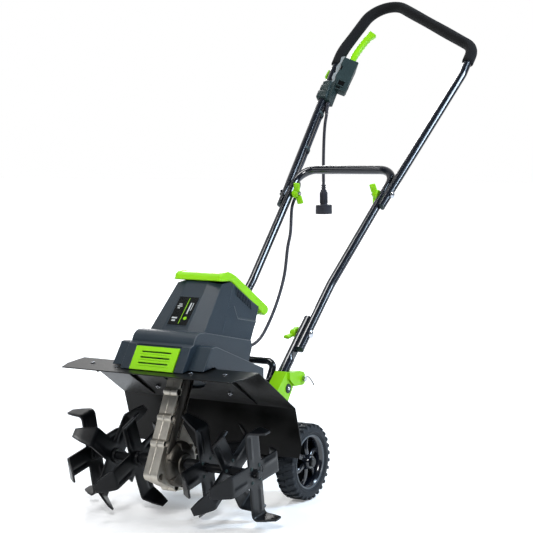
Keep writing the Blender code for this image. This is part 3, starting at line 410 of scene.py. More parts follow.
def spoke_axes(angle):
    """The directions out from and round X at an angle."""
    return Vector((0, math.cos(angle), math.sin(angle))), Vector((0, -math.sin(angle), math.cos(angle)))


def rod(start, end, radius, segments=16, dome=0.0):
    start, end = Vector(start), Vector(end)
    length = (end - start).length
    profile = [(0, 0), (0, radius - dome), (dome, radius), (length - dome, radius), (length, radius - dome),
               (length, 0)]
    return turned(profile, segments, pointing(start, end - start))


def arc(centre, radius, start, end, steps):
    angles = [math.radians(start + (end - start) * k / steps) for k in range(steps + 1)]
    return [(centre[0] + radius * math.cos(a), centre[1] + radius * math.sin(a)) for a in angles]


def rounded(corners, radii, steps=12):
    """A path through corners, each rounded to its radius."""
    path = [corners[0]]
    for last, corner, following, radius in zip(corners, corners[1:], corners[2:], radii):
        before, after = (last - corner).normalized(), (following - corner).normalized()
        half = before.angle(after) / 2
        reach = radius / math.tan(half)
        centre = corner + (before + after).normalized() * radius / math.sin(half)
        arm = corner + before * reach - centre
        end = corner + after * reach - centre
        turn = Quaternion(arm.cross(end), arm.angle(end) / steps)
        for _ in range(steps + 1):
            path.append(centre + arm)
            arm = turn @ arm
    return path + [corners[-1]]


def divided(bends, step):
    """A path with points no further apart than a step."""
    path = []
    for first, second in zip(bends, bends[1:]):
        count = max(1, math.ceil((second - first).length / step))
        path += [first.lerp(second, k / count) for k in range(count)]
    return path + [bends[-1]]


def distances(path):
    """How far along a path each of its points is."""
    lengths = [0.0]
    for first, second in zip(path, path[1:]):
        lengths.append(lengths[-1] + (second - first).length)
    return lengths


def headings(path):
    """The direction of a path at each of its points."""
    padded = path[:1] + path + path[-1:]
    return [(after - before).normalized() for before, after in zip(padded, padded[2:])]


def swept(path, radius, sides=20, presses=()):
    """A round bar along a path, whose radius is a number or a function of the distance from
    its start and its end. Each press flattens it so that nothing passes x on that side."""
    tangents = headings(path)
    lengths = distances(path)
    normal = tangents[0].orthogonal().normalized()
    rings = []
    for i, point in enumerate(path):
        if i:
            normal = tangents[i - 1].rotation_difference(tangents[i]) @ normal
        side = tangents[i].cross(normal)
        reach = radius(lengths[i], lengths[-1] - lengths[i]) if callable(radius) else radius
        ring = []
        for k in range(sides):
            a = 2 * math.pi * (k + 0.5) / sides
            place = point + (normal * math.cos(a) + side * math.sin(a)) * reach
            for pivot, limit, direction in presses:
                past = max(0.0, (point - pivot).length - PRESSED_LENGTH)
                eased = limit + direction * past
                if past < PRESS_EASE and place.x * direction > eased * direction:
                    place.x = eased
            ring.append(place)
        rings.append(ring)
    return lofted(rings)


def smooth_route(points, count):
    """Evenly spaced points on a smooth curve through the route's own points."""
    points = [Vector(point) for point in points]
    spans = []
    padded = [points[0] * 2 - points[1]] + points + [points[-1] * 2 - points[-2]]
    for a, b, c, d in zip(padded, padded[1:], padded[2:], padded[3:]):
        for k in range(12):
            t = k / 12
            spans.append(0.5 * (2 * b + (c - a) * t + (2 * a - 5 * b + 4 * c - d) * t * t
                                + (3 * b - a - 3 * c + d) * t ** 3))
    spans.append(points[-1])
    lengths = distances(spans)
    result = []
    step = 0
    for k in range(count):
        goal = lengths[-1] * k / (count - 1)
        while step < len(spans) - 2 and lengths[step + 1] < goal:
            step += 1
        share = (goal - lengths[step]) / (lengths[step + 1] - lengths[step])
        result.append(spans[step].lerp(spans[step + 1], share))
    return result


def screw_head(name, point, direction, radius, body, high):
    """A cap screw's head with a round socket, which points along a direction."""
    profile = [(-0.5, 0), (-0.5, radius), (high - 0.6, radius), (high, radius - 0.6), (high, radius * 0.5),
               (high * 0.4, radius * 0.5), (high * 0.4, 0)]
    piece(name, turned(profile, 24, pointing(point, direction)), body, "zinc_steel")


# ---------------------------------------------------------------- camera, light and floor

CAMERA_AZIMUTH = math.radians(32.21)
CAMERA_ELEVATION = math.radians(5.42)
CAMERA_ROLL = math.radians(-0.8)
CAMERA_DISTANCE = 2723.8
CAMERA_TARGET = Vector((154.3, 97.2, 471.2))
CAMERA_LENS = 99.51
SENSOR_WIDTH = 36.0
CLIP_END = 50.0
# The level direction from the camera past the machine: the floor and the sky brighten that way.
BEYOND_X, BEYOND_Y = -math.sin(CAMERA_AZIMUTH), math.cos(CAMERA_AZIMUTH)

FLOOR_HALF = 14.0
FLOOR_DROP = 0.0002
GLOW_START, GLOW_END = 0.1, 1.2
NEAR_GLOW, FAR_GLOW = 0.20, 0.95
GLOW_SPREAD = -0.6
DIM_SKY, BRIGHT_SKY = (0.085, 0.10, 0.12), (1.0, 1.0, 1.0)
# Name, place, aim, (width, height), power and colour.
LIGHTS = (
    ("key_light", (1.2, -2.7, 2.2), (0, -0.2, 0.35), (0.6, 0.9), 76, (1, 1, 1)),
    ("left_light", (-1.5, -2.2, 2.1), (0, -0.3, 0.3), (0.7, 0.9), 6, (1, 1, 1)),
    ("side_light", (2.3, 1.1, 2.4), (0, 0, 0.45), (0.5, 2.2), 115, (0.66, 0.82, 1.0)),
    ("top_light", (-0.7, -0.7, 3.1), (0, -0.3, 0.35), (0.9, 0.9), 34, (1, 1, 1)),
    ("back_light", (-1.8, 2.4, 1.9), (0, 0.2, 0.5), (0.6, 1.6), 40, (1, 1, 1)),
)


def make_camera():
    a, e, r = CAMERA_AZIMUTH, CAMERA_ELEVATION, CAMERA_ROLL
    right = Vector((math.cos(a), math.sin(a), 0))
    back = Vector((math.sin(a) * math.cos(e), -math.cos(a) * math.cos(e), math.sin(e)))
    up = back.cross(right)
    image_x = right * math.cos(r) + up * math.sin(r)
    image_y = up * math.cos(r) - right * math.sin(r)
    data = bpy.data.cameras.new("camera")
    data.lens = CAMERA_LENS
    data.sensor_width = SENSOR_WIDTH
    data.clip_end = CLIP_END
    camera = scene_object("camera", data)
    turn = Matrix((image_x, image_y, back)).transposed().to_4x4()
    place = Matrix.Translation(TO_FRAME @ (CAMERA_TARGET + back * CAMERA_DISTANCE))
    camera.matrix_world = place @ turn
    bpy.context.scene.camera = camera


def make_studio():
    """A pale floor lit up behind the machine, surroundings brighter there too, and soft lights."""
    world = bpy.data.worlds.new("studio")
    bpy.context.scene.world = world
    world.use_nodes = True
    tree = world.node_tree
    facing = node(tree, "ShaderNodeVectorMath", {
        0: node(tree, "ShaderNodeTexCoord").outputs["Generated"], 1: (BEYOND_X, BEYOND_Y, 0.15)},
        operation="DOT_PRODUCT").outputs["Value"]
    feed(tree, tree.nodes["Background"], {"Color": ramp(tree, facing, 0.35, DIM_SKY, 0.85, BRIGHT_SKY)})

    shape = bmesh.new()
    bmesh.ops.create_grid(shape, x_segments=1, y_segments=1, size=FLOOR_HALF)
    floor = scene_object("floor", mesh_from("floor", shape))
    floor.location.z = -FLOOR_DROP
    pale = material("pale_floor", (0.84, 0.85, 0.86), 0.6, patch=(2, 0.01), grain=(60, 0.02))
    tree = pale.node_tree
    place = node(tree, "ShaderNodeTexCoord").outputs["Object"]
    beyond = node(tree, "ShaderNodeVectorMath", {0: place, 1: (BEYOND_X, BEYOND_Y, 0)},
                  operation="DOT_PRODUCT").outputs["Value"]
    distance = node(tree, "ShaderNodeVectorMath", {0: place}, operation="LENGTH").outputs["Value"]
    glow = node(tree, "ShaderNodeMapRange", {
        "Value": maths(tree, "MULTIPLY_ADD", distance, GLOW_SPREAD, beyond),
        "From Min": GLOW_START, "From Max": GLOW_END, "To Min": NEAR_GLOW, "To Max": FAR_GLOW})
    feed(tree, tree.nodes["Principled BSDF"], {
        "Emission Color": (1, 1, 1, 1), "Emission Strength": glow.outputs["Result"]})
    floor.data.materials.append(pale)

    for name, spot, aim, size, power, colour in LIGHTS:
        data = bpy.data.lights.new(name, "AREA")
        data.shape = "RECTANGLE"
        data.size, data.size_y = size
        data.energy = power
        data.color = colour
        lamp = scene_object(name, data)
        lamp.location = spot
        lamp.rotation_euler = (Vector(aim) - Vector(spot)).to_track_quat("-Z", "Y").to_euler()


# ---------------------------------------------------------------- cords

PLUG_X = -152.0
PLUG_Y = 843.0
PLUG_TOP_Z = 590.0
TAIL_FOOT = 1168.0
GLAND_START = Vector((-34, 176, 297))
GLAND_END = Vector((-34, 198, 300))
# Heights at which the motor cable passes from one of its three lengths to the next.
MIDDLE_START_Z = 592.0
BOTTOM_START_Z = 500.0
CLIP_ALONG = (1128, 1008)


def lead_route():
    """The relief's own path, and the supply lead's from the relief to the plug."""
    x = -upper_leg_x(TAIL_FOOT) + 15
    mouth, throat = on_handle(x, TAIL_FOOT - 1, 6), on_handle(x, TAIL_FOOT - 7, 6)
    relief_end = Vector((PLUG_X + 4.5, PLUG_Y + 10, 757))
    bend = throat.lerp(relief_end, 0.5) + Vector((0, -2, -2))
    route = [relief_end + (relief_end - bend).normalized() * 1.2, (PLUG_X + 3, PLUG_Y + 4.5, 732),
             (PLUG_X + 1.5, PLUG_Y + 2, 700), (PLUG_X + 0.5, PLUG_Y + 0.5, 660), (PLUG_X, PLUG_Y, 620),
             (PLUG_X, PLUG_Y, PLUG_TOP_Z + 0.3)]
    return [mouth, throat, bend, relief_end], smooth_route(route, 40)


def motor_cable_routes():
    """The motor cable's top, middle and bottom lengths."""
    behind_leg = [on_handle(-upper_leg_x(t) + 4, t, 13.8) for t in (TAIL_FOOT - 1, 1140, 1080, 1020, 970)]
    behind_joint = [(-136, 935, 15), (-122, 906, 20), (-114, 872, 17.5), (-111, 836, 21)]
    route = behind_leg + [on_handle(*place) for place in behind_joint]
    route += [(-92, 590, 495), (-86, 567, 462), (-76, 535, 404), (-66, 488, 352), (-56, 432, 308),
              (-46, 380, 284), (-38, 322, 278), (-35, 270, 290), (-34, 230, 302),
              GLAND_END + Vector((0, 1.2, 0.2))]
    points = smooth_route(route, 160)
    first, second = (next(i for i, point in enumerate(points) if point.z < level)
                     for level in (MIDDLE_START_Z, BOTTOM_START_Z))
    return points[:first + 1], points[first:second + 1], points[second:]


def make_cord(name, path, bodies, stands_for):
    """A round cord that rides on one body; a cord between two bodies rides on neither and stays where it is.
    """
    world = [TO_FRAME @ point for point in path]
    shape = swept(path, CORD_R, 16)
    if len(bodies) == 1:
        cord = piece(name, shape, bodies[0], "cable_rubber", (stands_for,))
    else:
        cord = piece(name, shape, None, "cable_rubber")
        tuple(world[0])
        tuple(world[-1])
        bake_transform(cord)
        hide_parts(stands_for)
    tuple(world[0])
    distances(world)[-1]


def plug_shape():
    """Two-ring relief, fluted body and a wide shroud, hanging down."""
    profile = [(0, 0), (0, 4.6), (1, 5.5), (4, 5.5), (4.6, 4.2), (6, 4.2), (7, 5.9), (9, 5.9), (10, 4.4),
               (11.5, 4.4), (13, 7), (15.5, 7.4), (17, 7.2), (18, 9), (20, 9.6), (23, 9.3), (46, 8.2),
               (47.5, 9), (48.5, 18.6), (49.5, 19.4), (69, 19.9), (70, 19.4), (70, 15.6), (69, 15.2),
               (51, 14.4), (51, 0)]
    shapes = [turned(profile, 40, pointing((PLUG_X, PLUG_Y, PLUG_TOP_Z), -Z_AXIS))]
    for k in range(12):
        angle = 2 * math.pi * k / 12
        outward = Vector((math.cos(angle), math.sin(angle), 0))
        middle = Vector((PLUG_X, PLUG_Y, PLUG_TOP_Z - 33)) + outward * 8.7
        shapes.append(plank(middle, outward.cross(Z_AXIS), Z_AXIS, outward, (2.2, 24, 1.6), 0.5))
    return joined(*shapes)


def make_cords():
    relief_path, lead = lead_route()
    length = distances(relief_path)[-1]

    def relief_radius(a, _):
        return 5.6 - 1.3 * a / length - (0.7 if int(a / 2.4) % 2 and 4 < a < length - 2 else 0.0)

    def gland_radius(a, _):
        return 7.4 - 0.11 * a - (0.8 if int(a / 3) % 2 else 0.0)

    relief = piece("cord_relief_sleeve", swept(divided(relief_path, 0.9), relief_radius), "upper_handle",
                   "cable_rubber", ("cord_relief",))
    plug = piece("plug_moulding", plug_shape(), "upper_handle", "cable_rubber", ("plug",))
    blades = [box((x - 0.8, PLUG_Y - 3, PLUG_TOP_Z - 66.5), (x + 0.8, PLUG_Y + 3, PLUG_TOP_Z - 50))
              for x in (PLUG_X - 5.5, PLUG_X + 5.5)]
    contact = piece("plug_blades", joined(*blades), "upper_handle", "zinc_steel", bevel=0.3)
    make_cord("supply_cord", lead, ("upper_handle",), "supply_lead")
    gland = piece("motor_cable_sleeve", swept(divided([GLAND_START, GLAND_END], 1.5), gland_radius),
                  "chassis", "cable_rubber", ("cable_gland",))
    top, middle, bottom = motor_cable_routes()
    make_cord("motor_cord_top", top, ("upper_handle",), "motor_cable_top")
    make_cord("motor_cord_middle", middle, ("upper_handle", "middle_handle"), "motor_cable_middle")
    make_cord("motor_cord_bottom", bottom, ("middle_handle", "chassis"), "motor_cable_bottom")
    for along in CLIP_ALONG:
        centre = on_handle(-upper_leg_x(along) + 1.6, along, 5.5)
        ring = sleeve(-3.5, 3.5, 0.1, 1.0, segments=36)
        for vertex in ring.verts:
            x, y, z = vertex.co
            thick, angle = math.hypot(y, z), math.atan2(z, y)
            out = X_AXIS * math.cos(angle) * (10.2 + thick) + BEHIND * math.sin(angle) * (12.4 + thick)
            vertex.co = centre + UP_HANDLE * x + out
        piece(f"cable_clip_{along}", ring, "upper_handle", "black_plastic")


# ---------------------------------------------------------------- housing

# The tower from the side, as (y, z) points: the front's foot and top come first.
TOWER = [(16, 353), (97, 438), (141, 436), (221, 381), (209, 363), (199, 347), (176, 317), (171, 305),
         (0, 305), (-3, 336)]
TOWER_FOOT_Z = 305.0
TOWER_HALF = 69.0
TOWER_LEAN = 0.1316
FACET_HALF = (29.0, 24.0)
FACET_SETBACK = 8.0
SPLIT_LINE = ((46, 290), (152, 450))
SPLIT_OVERLAP = 0.2
VENT_SLOTS = 9
VENT_PITCH = 5.0
VENT_FALL = 3.55
BASE_HALF = 70.5
POD_INNER, POD_OUTER = 69.0, 104.0
# Across, up, width and height.
BADGE_BARS = ((-12, 15, 7, 2), (-12, 10.5, 11, 2), (-13, 6, 5, 2), (-12, -17, 12, 3.2), (-12, -23, 8, 3.2),
              (11, 6, 3.0, 26), (16, 10, 1.4, 18))


def side_point(z, lift=0.0):
    """How far out the tower's leaning side is at a height, plus a lift."""
    return TOWER_HALF - TOWER_LEAN * (z - TOWER_FOOT_Z) + lift


def tower_shape(keep_front):
    """The tower as a solid with a three-facet front, cut at the split line between covers."""
    up = (Vector(TOWER[1]) - Vector(TOWER[0])).normalized()
    inward = Vector((up.y, -up.x)) * FACET_SETBACK
    outline = [(y + inward.x, z + inward.y) for y, z in TOWER[:2]] + TOWER[2:]
    halves = [side_point(z) for _, z in TOWER]
    shape = bmesh.new()
    left, right = ([shape.verts.new((side * half, *point)) for half, point in zip(halves, outline)]
                   for side in (-1, 1))
    (foot_l, foot_r), (top_l, top_r) = ([shape.verts.new((side * half, *point)) for side in (-1, 1)]
                                        for half, point in zip(FACET_HALF, TOWER))
    for corners in (left, right[::-1], (left[0], left[1], top_l, foot_l), (foot_l, top_l, top_r, foot_r),
                    (foot_r, top_r, right[1], right[0]), (left[1], left[2], right[2], right[1], top_r, top_l),
                    (left[-1], left[0], foot_l, foot_r, right[0], right[-1])):
        shape.faces.new(corners)
    for corners in zip(left[2:], left[3:], right[3:], right[2:]):
        shape.faces.new(corners)
    bmesh.ops.recalc_face_normals(shape, faces=shape.faces)
    low, high = (Vector((0, *point)) for point in SPLIT_LINE)
    line = (high - low).normalized()
    away = Vector((0, line.z, -line.y)) * (1 if keep_front else -1)
    geometry = shape.verts[:] + shape.edges[:] + shape.faces[:]
    bmesh.ops.bisect_plane(shape, geom=geometry, plane_co=low - away * SPLIT_OVERLAP, plane_no=away,
                           clear_outer=True)
    bmesh.ops.contextual_create(shape, geom=[edge for edge in shape.edges if edge.is_boundary])
    return shape


def side_panel(side, outline, lift):
    """A panel on the tower's leaning side, raised by a lift."""
    return lofted([[(side * side_point(z, off), y, z) for y, z in outline] for off in (lift, -4.0)])


def bead(name, points, radius):
    """A slim raised line along an edge of the housing, in a lighter plastic: a painted highlight along the
    edge.
    """
    piece(name, swept(divided(points, 5), radius, 10), "chassis", "painted_highlight_plastic")


def make_side_crease(side, word):
    """The side's lower half stands proud, with a chamfer along its upper edge."""
    ridge = [(131.5, 388), (136, 364), (197.5, 351)]
    brink = [(135, 388.5), (139.5, 367.5), (200, 354.5)]
    skirt = [(183, 330), (110, 344), (100, 386)]
    ridge_lifts = (0.6, 2.4, 2.4)
    shape = bmesh.new()

    def row(points, lifts):
        return [shape.verts.new((side * side_point(z, lift), y, z)) for (y, z), lift in zip(points, lifts)]

    raised = row(ridge, ridge_lifts)
    rim = row(brink + skirt, (-0.2,) * 6)
    hidden = row(brink + skirt, (-4,) * 6)
    outer, low = rim[:3], rim[3:]
    for corners in ((raised[0], outer[0], outer[1], raised[1]), (raised[1], outer[1], outer[2], raised[2]),
                    (raised[1], raised[2], low[0], low[1]), (raised[0], raised[1], low[1], low[2]),
                    (outer[2], raised[2], low[0], hidden[3], hidden[2]),
                    (low[2], raised[0], outer[0], hidden[0], hidden[5]), hidden):
        shape.faces.new(corners)
    for k in (0, 1, 3, 4):
        shape.faces.new((rim[k], rim[k + 1], hidden[k + 1], hidden[k]))
    piece(f"tower_side_crease_{word}", shape, "chassis", "housing_plastic", sharp=12)
    edge = [Vector((side * side_point(z, lift - 0.35), y, z)) for (y, z), lift in zip(ridge, ridge_lifts)]
    bead(f"tower_crease_edge_{word}", edge, 0.75)


def make_tower():
    for part, node_name, limit in (("front", "housing_front_cover", 8), ("rear", "housing_rear_cover", 12)):
        piece(f"tower_{part}_shell", tower_shape(part == "front"), "chassis", "housing_plastic", (node_name,),
              2.2, 3, limit=limit, sharp=60)
    for side, word in SIDES:
        slots, louvres = [], []
        for k in range(VENT_SLOTS + 1):
            y, z = 146 + VENT_PITCH * k, 423 - VENT_FALL * k
            slots.append([(y, z), (y + 2.8, z - 2), (y + 2.8, z - 19), (y, z - 17)])
            louvres.append([(y - 2.2, z + 1.6), (y, z), (y, z - 17), (y - 2.2, z - 15.4)])
        # Dark slabs just proud of the side stand in for the vent slots: painted shade where the openings
        # would be.
        panels = [side_panel(side, slot, 0.25) for slot in slots[:VENT_SLOTS]]
        piece(f"tower_vent_shade_{word}", joined(*panels), "chassis", "painted_shade", slot="housing_plastic")
        blades = [side_panel(side, louvre, 0.9) for louvre in louvres]
        piece(f"tower_louvres_{word}", joined(*blades), "chassis", "housing_plastic", bevel=0.3)
        make_side_crease(side, word)


def make_badge():
    """A plain badge on the tower's front: a stripe, bars and a dot, and nothing to read."""
    foot, top = (Vector((0, *point)) for point in TOWER[:2])
    up = (top - foot).normalized()
    out = X_AXIS.cross(up)
    centre = foot.lerp(top, 0.38)
    slab = slab_maker(centre, up, out)
    piece("badge_bezel", slab(0, 0, 0.1, (49, 71, 1.0)), "chassis", "housing_plastic", bevel=0.4)
    piece("badge", slab(0, 0, 0.9, (43.6, 65.6, 0.7)), "chassis", "badge", ("badge_plate",), 0.25)
    piece("badge_stripe", slab(2.5, 0, 1.3, (1.2, 60, 0.25)), "chassis", "lime_plastic")
    bars = [slab(x, rise, 1.3, (wide, high, 0.25)) for x, rise, wide, high in BADGE_BARS]
    piece("badge_bars", joined(*bars), "chassis", "badge_print")
    spot = centre + X_AXIS * 12 - up * 17 + out * 1.2
    disc = turned([(0, 0), (0, 3.6), (0.25, 3.6), (0.25, 0)], 24, pointing(spot, out))
    piece("badge_dot", disc, "chassis", "lime_plastic")


def make_base():
    shoulder = [(-31, 331)] + arc((2.5, 329), 24.5, 168, 92, 10) + [(16, 352.6)]
    block = [(-60.3, 287.5)] + shoulder + [(172, 317.5), (174.5, 304.3), (163, 280), (163, 240), (122, 208.5),
                                           (-4.6, 292.9)]
    base = piece("base_moulding", prism(block, -BASE_HALF, BASE_HALF), "chassis", "housing_plastic",
                 ("housing_base",), 2.0, 3, limit=20, sharp=60)
    pod = [(-41, 289.8), (-11, 330), (2, 331), (163, 268), (163, 240), (122, 208.5), (-4.6, 293.2)]
    pod_edge = [(-11.5, 329.4), (2, 330.4), (162, 268)]
    for side, word in SIDES:
        piece(f"side_pod_{word}", prism(pod, *sorted((side * POD_INNER, side * POD_OUTER))), "chassis",
              "housing_plastic", bevel=2.2, segments=3, sharp=60)
        bead(f"base_edge_{word}", [Vector((side * (BASE_HALF - 0.6), y, z - 0.6))
                                   for y, z in shoulder + [(171, 318)]], 0.8)
        bead(f"pod_edge_{word}", [Vector((side * (POD_OUTER - 0.7), y, z - 0.5)) for y, z in pod_edge], 0.7)
    cut(base, prism([(-63.5, 286.5), (-33.5, 331), (-27.5, 331), (-57.5, 286.5)], -50.4, 50.4))
    make_front_vent()


def make_front_vent():
    """The lime grille let into the base: three slots with a rib under each."""
    foot, top = Vector((0, -61.3, 288)), Vector((0, -34.2, 328.5))
    up = (top - foot).normalized()
    middle, out = foot.lerp(top, 0.5), X_AXIS.cross(up)
    slab = slab_maker(middle, up, out)
    grille = piece("vent_frame", slab(0, 0, -1.4, (97.6, 47.6, 3.0)), "chassis", "lime_plastic",
                   ("front_vent_grille",), 1.2, 3)
    rims = []
    for k in (-1, 0, 1):
        rise = 11.6 * k + 1.5
        cut(grille, slab(0, rise, 0, (64, 3.2, 12)))
        for x in (-32, 32):
            end = middle + up * rise + X_AXIS * x
            cut(grille, rod(end - out * 6, end + out * 6, 1.6, 12))
        rims.append(slab(0, rise - 4.6, 0.3, (72, 1.6, 1.4), 0.5))
    piece("vent_ribs", joined(*rims), "chassis", "lime_plastic")
    # A near-black sheet behind the slots: painted shade inside the grille.
    piece("vent_shade_backing", slab(0, 0, -5.2, (92, 42, 1.2)), "chassis", "painted_shade", bevel=0.3)


def make_cap():
    """The lime cap: a rim that runs round the tower's top and a slightly raised lid."""
    outline = [(90.5, 440, 54), (96, 449, 50), (104, 453, 48), (122, 454, 47.5), (134, 450, 49),
               (147, 443.5, 51), (247, 376, 55), (251.5, 370.5, 56), (249, 364, 58), (239, 358, 60),
               (226, 365.5, 60), (227, 380, 60), (143.5, 436, 56), (100, 438.2, 55)]
    shape = lofted([[(side * half, y, z) for y, z, half in outline] for side in (-1, 1)])
    piece("cap_moulding", shape, "chassis", "lime_plastic", ("housing_top_cap",), 3.0, 4, limit=14, sharp=80)
    rim = [(94, 446), (96, 450), (104, 454), (122, 455), (134, 451), (147, 444.5), (247, 377), (252, 371),
           (249, 363), (238, 358), (231, 364.5), (137, 432), (130, 436), (97, 440)]
    for side, word in SIDES:
        inner = [(side * 44, y, z) for y, z in rim]
        outer = [(side * (52.5 + (y - 94) * 0.055), y, z) for y, z in rim]
        piece(f"cap_side_rim_{word}", lofted([inner, outer]), "chassis", "lime_plastic", bevel=2.4,
              segments=3, limit=40, sharp=80)
    along = Vector((0, 100, -67.5)).normalized()
    slab = slab_maker(Vector((0, 190, 414.6)), along, X_AXIS.cross(along))
    piece("cap_raised_panel", slab(0, 0, 0.2, (72, 82, 3.2)), "chassis", "lime_plastic", bevel=1.5,
          segments=3, sharp=80)
    grooves = [slab(0, k * 13, 1.9, (52, 3.0, 1.0), 0.4) for k in (-2, -1, 0, 1, 2)]
    piece("cap_ribs", joined(*grooves), "chassis", "lime_plastic")


# ---------------------------------------------------------------- deck and gear case

# The deck's top surface from the side, as (y, z) points, and its screws as (x, y) on each side.
DECK_LINE = ((-86, 285), (-5, 291), (119.5, 206), (149, 104))
DECK_SCREWS = ((84, -52), (86, 20), (84, 78), (150, -40))
STAY = [(-70, 283.5), (-5, 288), (110, 211), (112, 206), (-6, 281), (-66, 277)]
# The gear case lies along the motor: its outline and bosses are (off, along) points by that lean.
CASE_R = 57.0
CASE_TOP = 178.5
CASE_FLOOR = -47.0
FLANGE = 16.0
BORE_R = 6.3
CASE_BOSSES = [(-53.5, 165), (-54.5, 122), (-53.5, 72), (-54, 22), (-44, -37), (12, -42), (50, -8), (48, 38),
               (-24, 150), (-24, 96)]


def deck_height(y):
    """The deck sheet's top surface."""
    for (y0, z0), (y1, z1) in zip(DECK_LINE, DECK_LINE[1:]):
        if y0 <= y <= y1:
            return z0 + (z1 - z0) * (y - y0) / (y1 - y0)
    return DECK_LINE[0][1]


def make_deck():
    refined(["deck_guard"], "chassis", "deck_paint", 0.7, limit=25)
    for side, word in SIDES:
        for k, (x, y) in enumerate(DECK_SCREWS):
            spot = Vector((side * x, y, deck_height(y)))
            up = Vector((0, deck_height(y - 0.5) - deck_height(y + 0.5), 1)).normalized()
            screw_head(f"deck_screw_{word}_{k}", spot + up * 0.4, up, 4.4, "chassis", 1.5)
            nut = sleeve(0, 3.6, 2.4, 5.2, pointing(spot - up * 2.4, -up), 6)
            bolt = rod(spot - up * 1.5, spot - up * 8.5, 2.3, 12, 0.5)
            piece(f"deck_nut_{word}_{k}", joined(nut, bolt), "chassis", "zinc_steel", bevel=0.4)
    for side, word in SIDES:
        piece(f"deck_stay_{word}", prism(STAY, *sorted((side * 118, side * 120.5))), "chassis", "deck_paint",
              bevel=0.6)


def case_outline():
    """The gear case from the side, as (y, z) points."""
    points = [(-58, CASE_TOP), (-18, CASE_TOP), (-18, 72)] + arc((0, 0), CASE_R, 58, -40, 24)
    points += arc((17, CASE_FLOOR + 14), 14, -70, -90, 4) + arc((-46, CASE_FLOOR + 12), 12, -90, -180, 8)
    return [on_motor(0, off, along).yz for off, along in points]


def make_gear_case():
    """Two cast halves with a narrow flange round the seam, bosses and sunk screws on it, and
    round bulges beyond it for the gear and its worm."""
    for side, word in SIDES:
        flange = piece(f"gear_flange_{word}", prism(case_outline(), *sorted((side * 0.5, side * FLANGE))),
                       "chassis", "cast_aluminium", ("gearcase_" + word,), 1.6, 3, limit=40)
        ends = [rod(on_motor(side * 0.5, *spot), on_motor(side * (FLANGE - 0.6), *spot), 8.6, 28, 1.4)
                for spot in CASE_BOSSES]
        rings = piece(f"gear_bosses_{word}", joined(*ends), "chassis", "cast_aluminium")
        if side > 0:
            for item in (flange, rings):
                cut(item, joined(*[rod(on_motor(4.5, *spot), on_motor(FLANGE + 6, *spot), BORE_R, 24)
                                   for spot in CASE_BOSSES]))
        # The bulges and ribs beyond the flange take the darker cast finish: painted shade on the case's side.
        dome = [(FLANGE + x, radius) for x, radius in (
            (-3, 0), (-3, 44), (5, 42.5), (10, 39), (13, 34), (14, 27), (14.5, 22), (17, 21), (18, 19),
            (18, 13), (16, 11), (16, 0))]
        worm = rod(on_motor(side * 8, -37, 6), on_motor(side * 8, -37, CASE_TOP - 1), 13.2, 32, 2)
        flats = [plank(on_motor(side * (FLANGE + 1), off, along), X_AXIS, MOTOR_AXIS,
                       MOTOR_AXIS.cross(X_AXIS), (5, length, 3), 1.0)
                 for off, along, length in ((-24, 108, 130), (-52, 96, 40), (-52, 46, 34), (-52, 143, 28))]
        bulge = joined(turned(dome, 56, outboard(side, (0, 0, SHAFT_Z))), worm, *flats)
        piece(f"gear_bulge_{word}", bulge, "chassis", "cast_aluminium_painted_shade", sharp=35)
        ribs = []
        hub = on_motor(0, 0, 0)
        for degrees in range(20, 360, 55):
            a = math.radians(degrees)
            outward = on_motor(0, math.cos(a), math.sin(a)) - hub
            around = on_motor(0, -math.sin(a), math.cos(a)) - hub
            spot = on_motor(side * (FLANGE + 9), 0, 0) + outward * 33
            ribs.append(plank(spot, X_AXIS, outward, around, (10, 21, 3), 0.9))
        piece(f"gear_ribs_{word}", joined(*ribs), "chassis", "cast_aluminium_painted_shade")
    for k, spot in enumerate(CASE_BOSSES):
        screw = turned([(0, 0), (0, 5.4), (5.2, 5.4), (6, 4.8), (6, 2.8), (2.5, 2.8), (2.5, 0)], 24,
                       pointing(on_motor(4.3, *spot), X_AXIS))
        piece(f"case_screw_{k}", screw, "chassis", "screw_black")
        nut = turned([(0, 0), (0, 4.6), (2.6, 4.6), (3.0, 4.0), (3.0, 0)], 6,
                     pointing(on_motor(0.6 - FLANGE, *spot), -X_AXIS))
        piece(f"case_nut_{k}", nut, "chassis", "zinc_steel", bevel=0.3)


# ---------------------------------------------------------------- tines

BLADE_HALF = 20.0
BLADE_BEND_R = 82.0
BEND_RADIUS = 9.0
BEND_STEPS = 6
HUB_BORE_R = 8.6
TINE_STEEL = 4.0
HITCH_X = 190.5
# Shares of a blade's half width where its rows of vertices run, and how high its rib lifts each.
ROWS = (-1.0, -0.62, -0.42, 0.0, 0.30, 0.36, 0.56, 0.62, 1.0)
RISE = (0.0, 0.0, 0.0, 0.0, 0.0, 1.1, 1.1, 0.0, 0.0)
# Blade ends as (degrees of bend, length past it); each tine has a turn for its left and right twin.
OUT, OUT_LESS, INWARD = (88, 30), (50, 36), (-50, 36)
TINES = (("outer", 185, {-1: 11.5, 1: 7}, (INWARD, OUT) * 2),
         ("middle", 133, {-1: 53, 1: 34}, (INWARD, OUT_LESS) * 2),
         ("inner", 79, {-1: 21, 1: 10}, (OUT_LESS, INWARD) * 2))


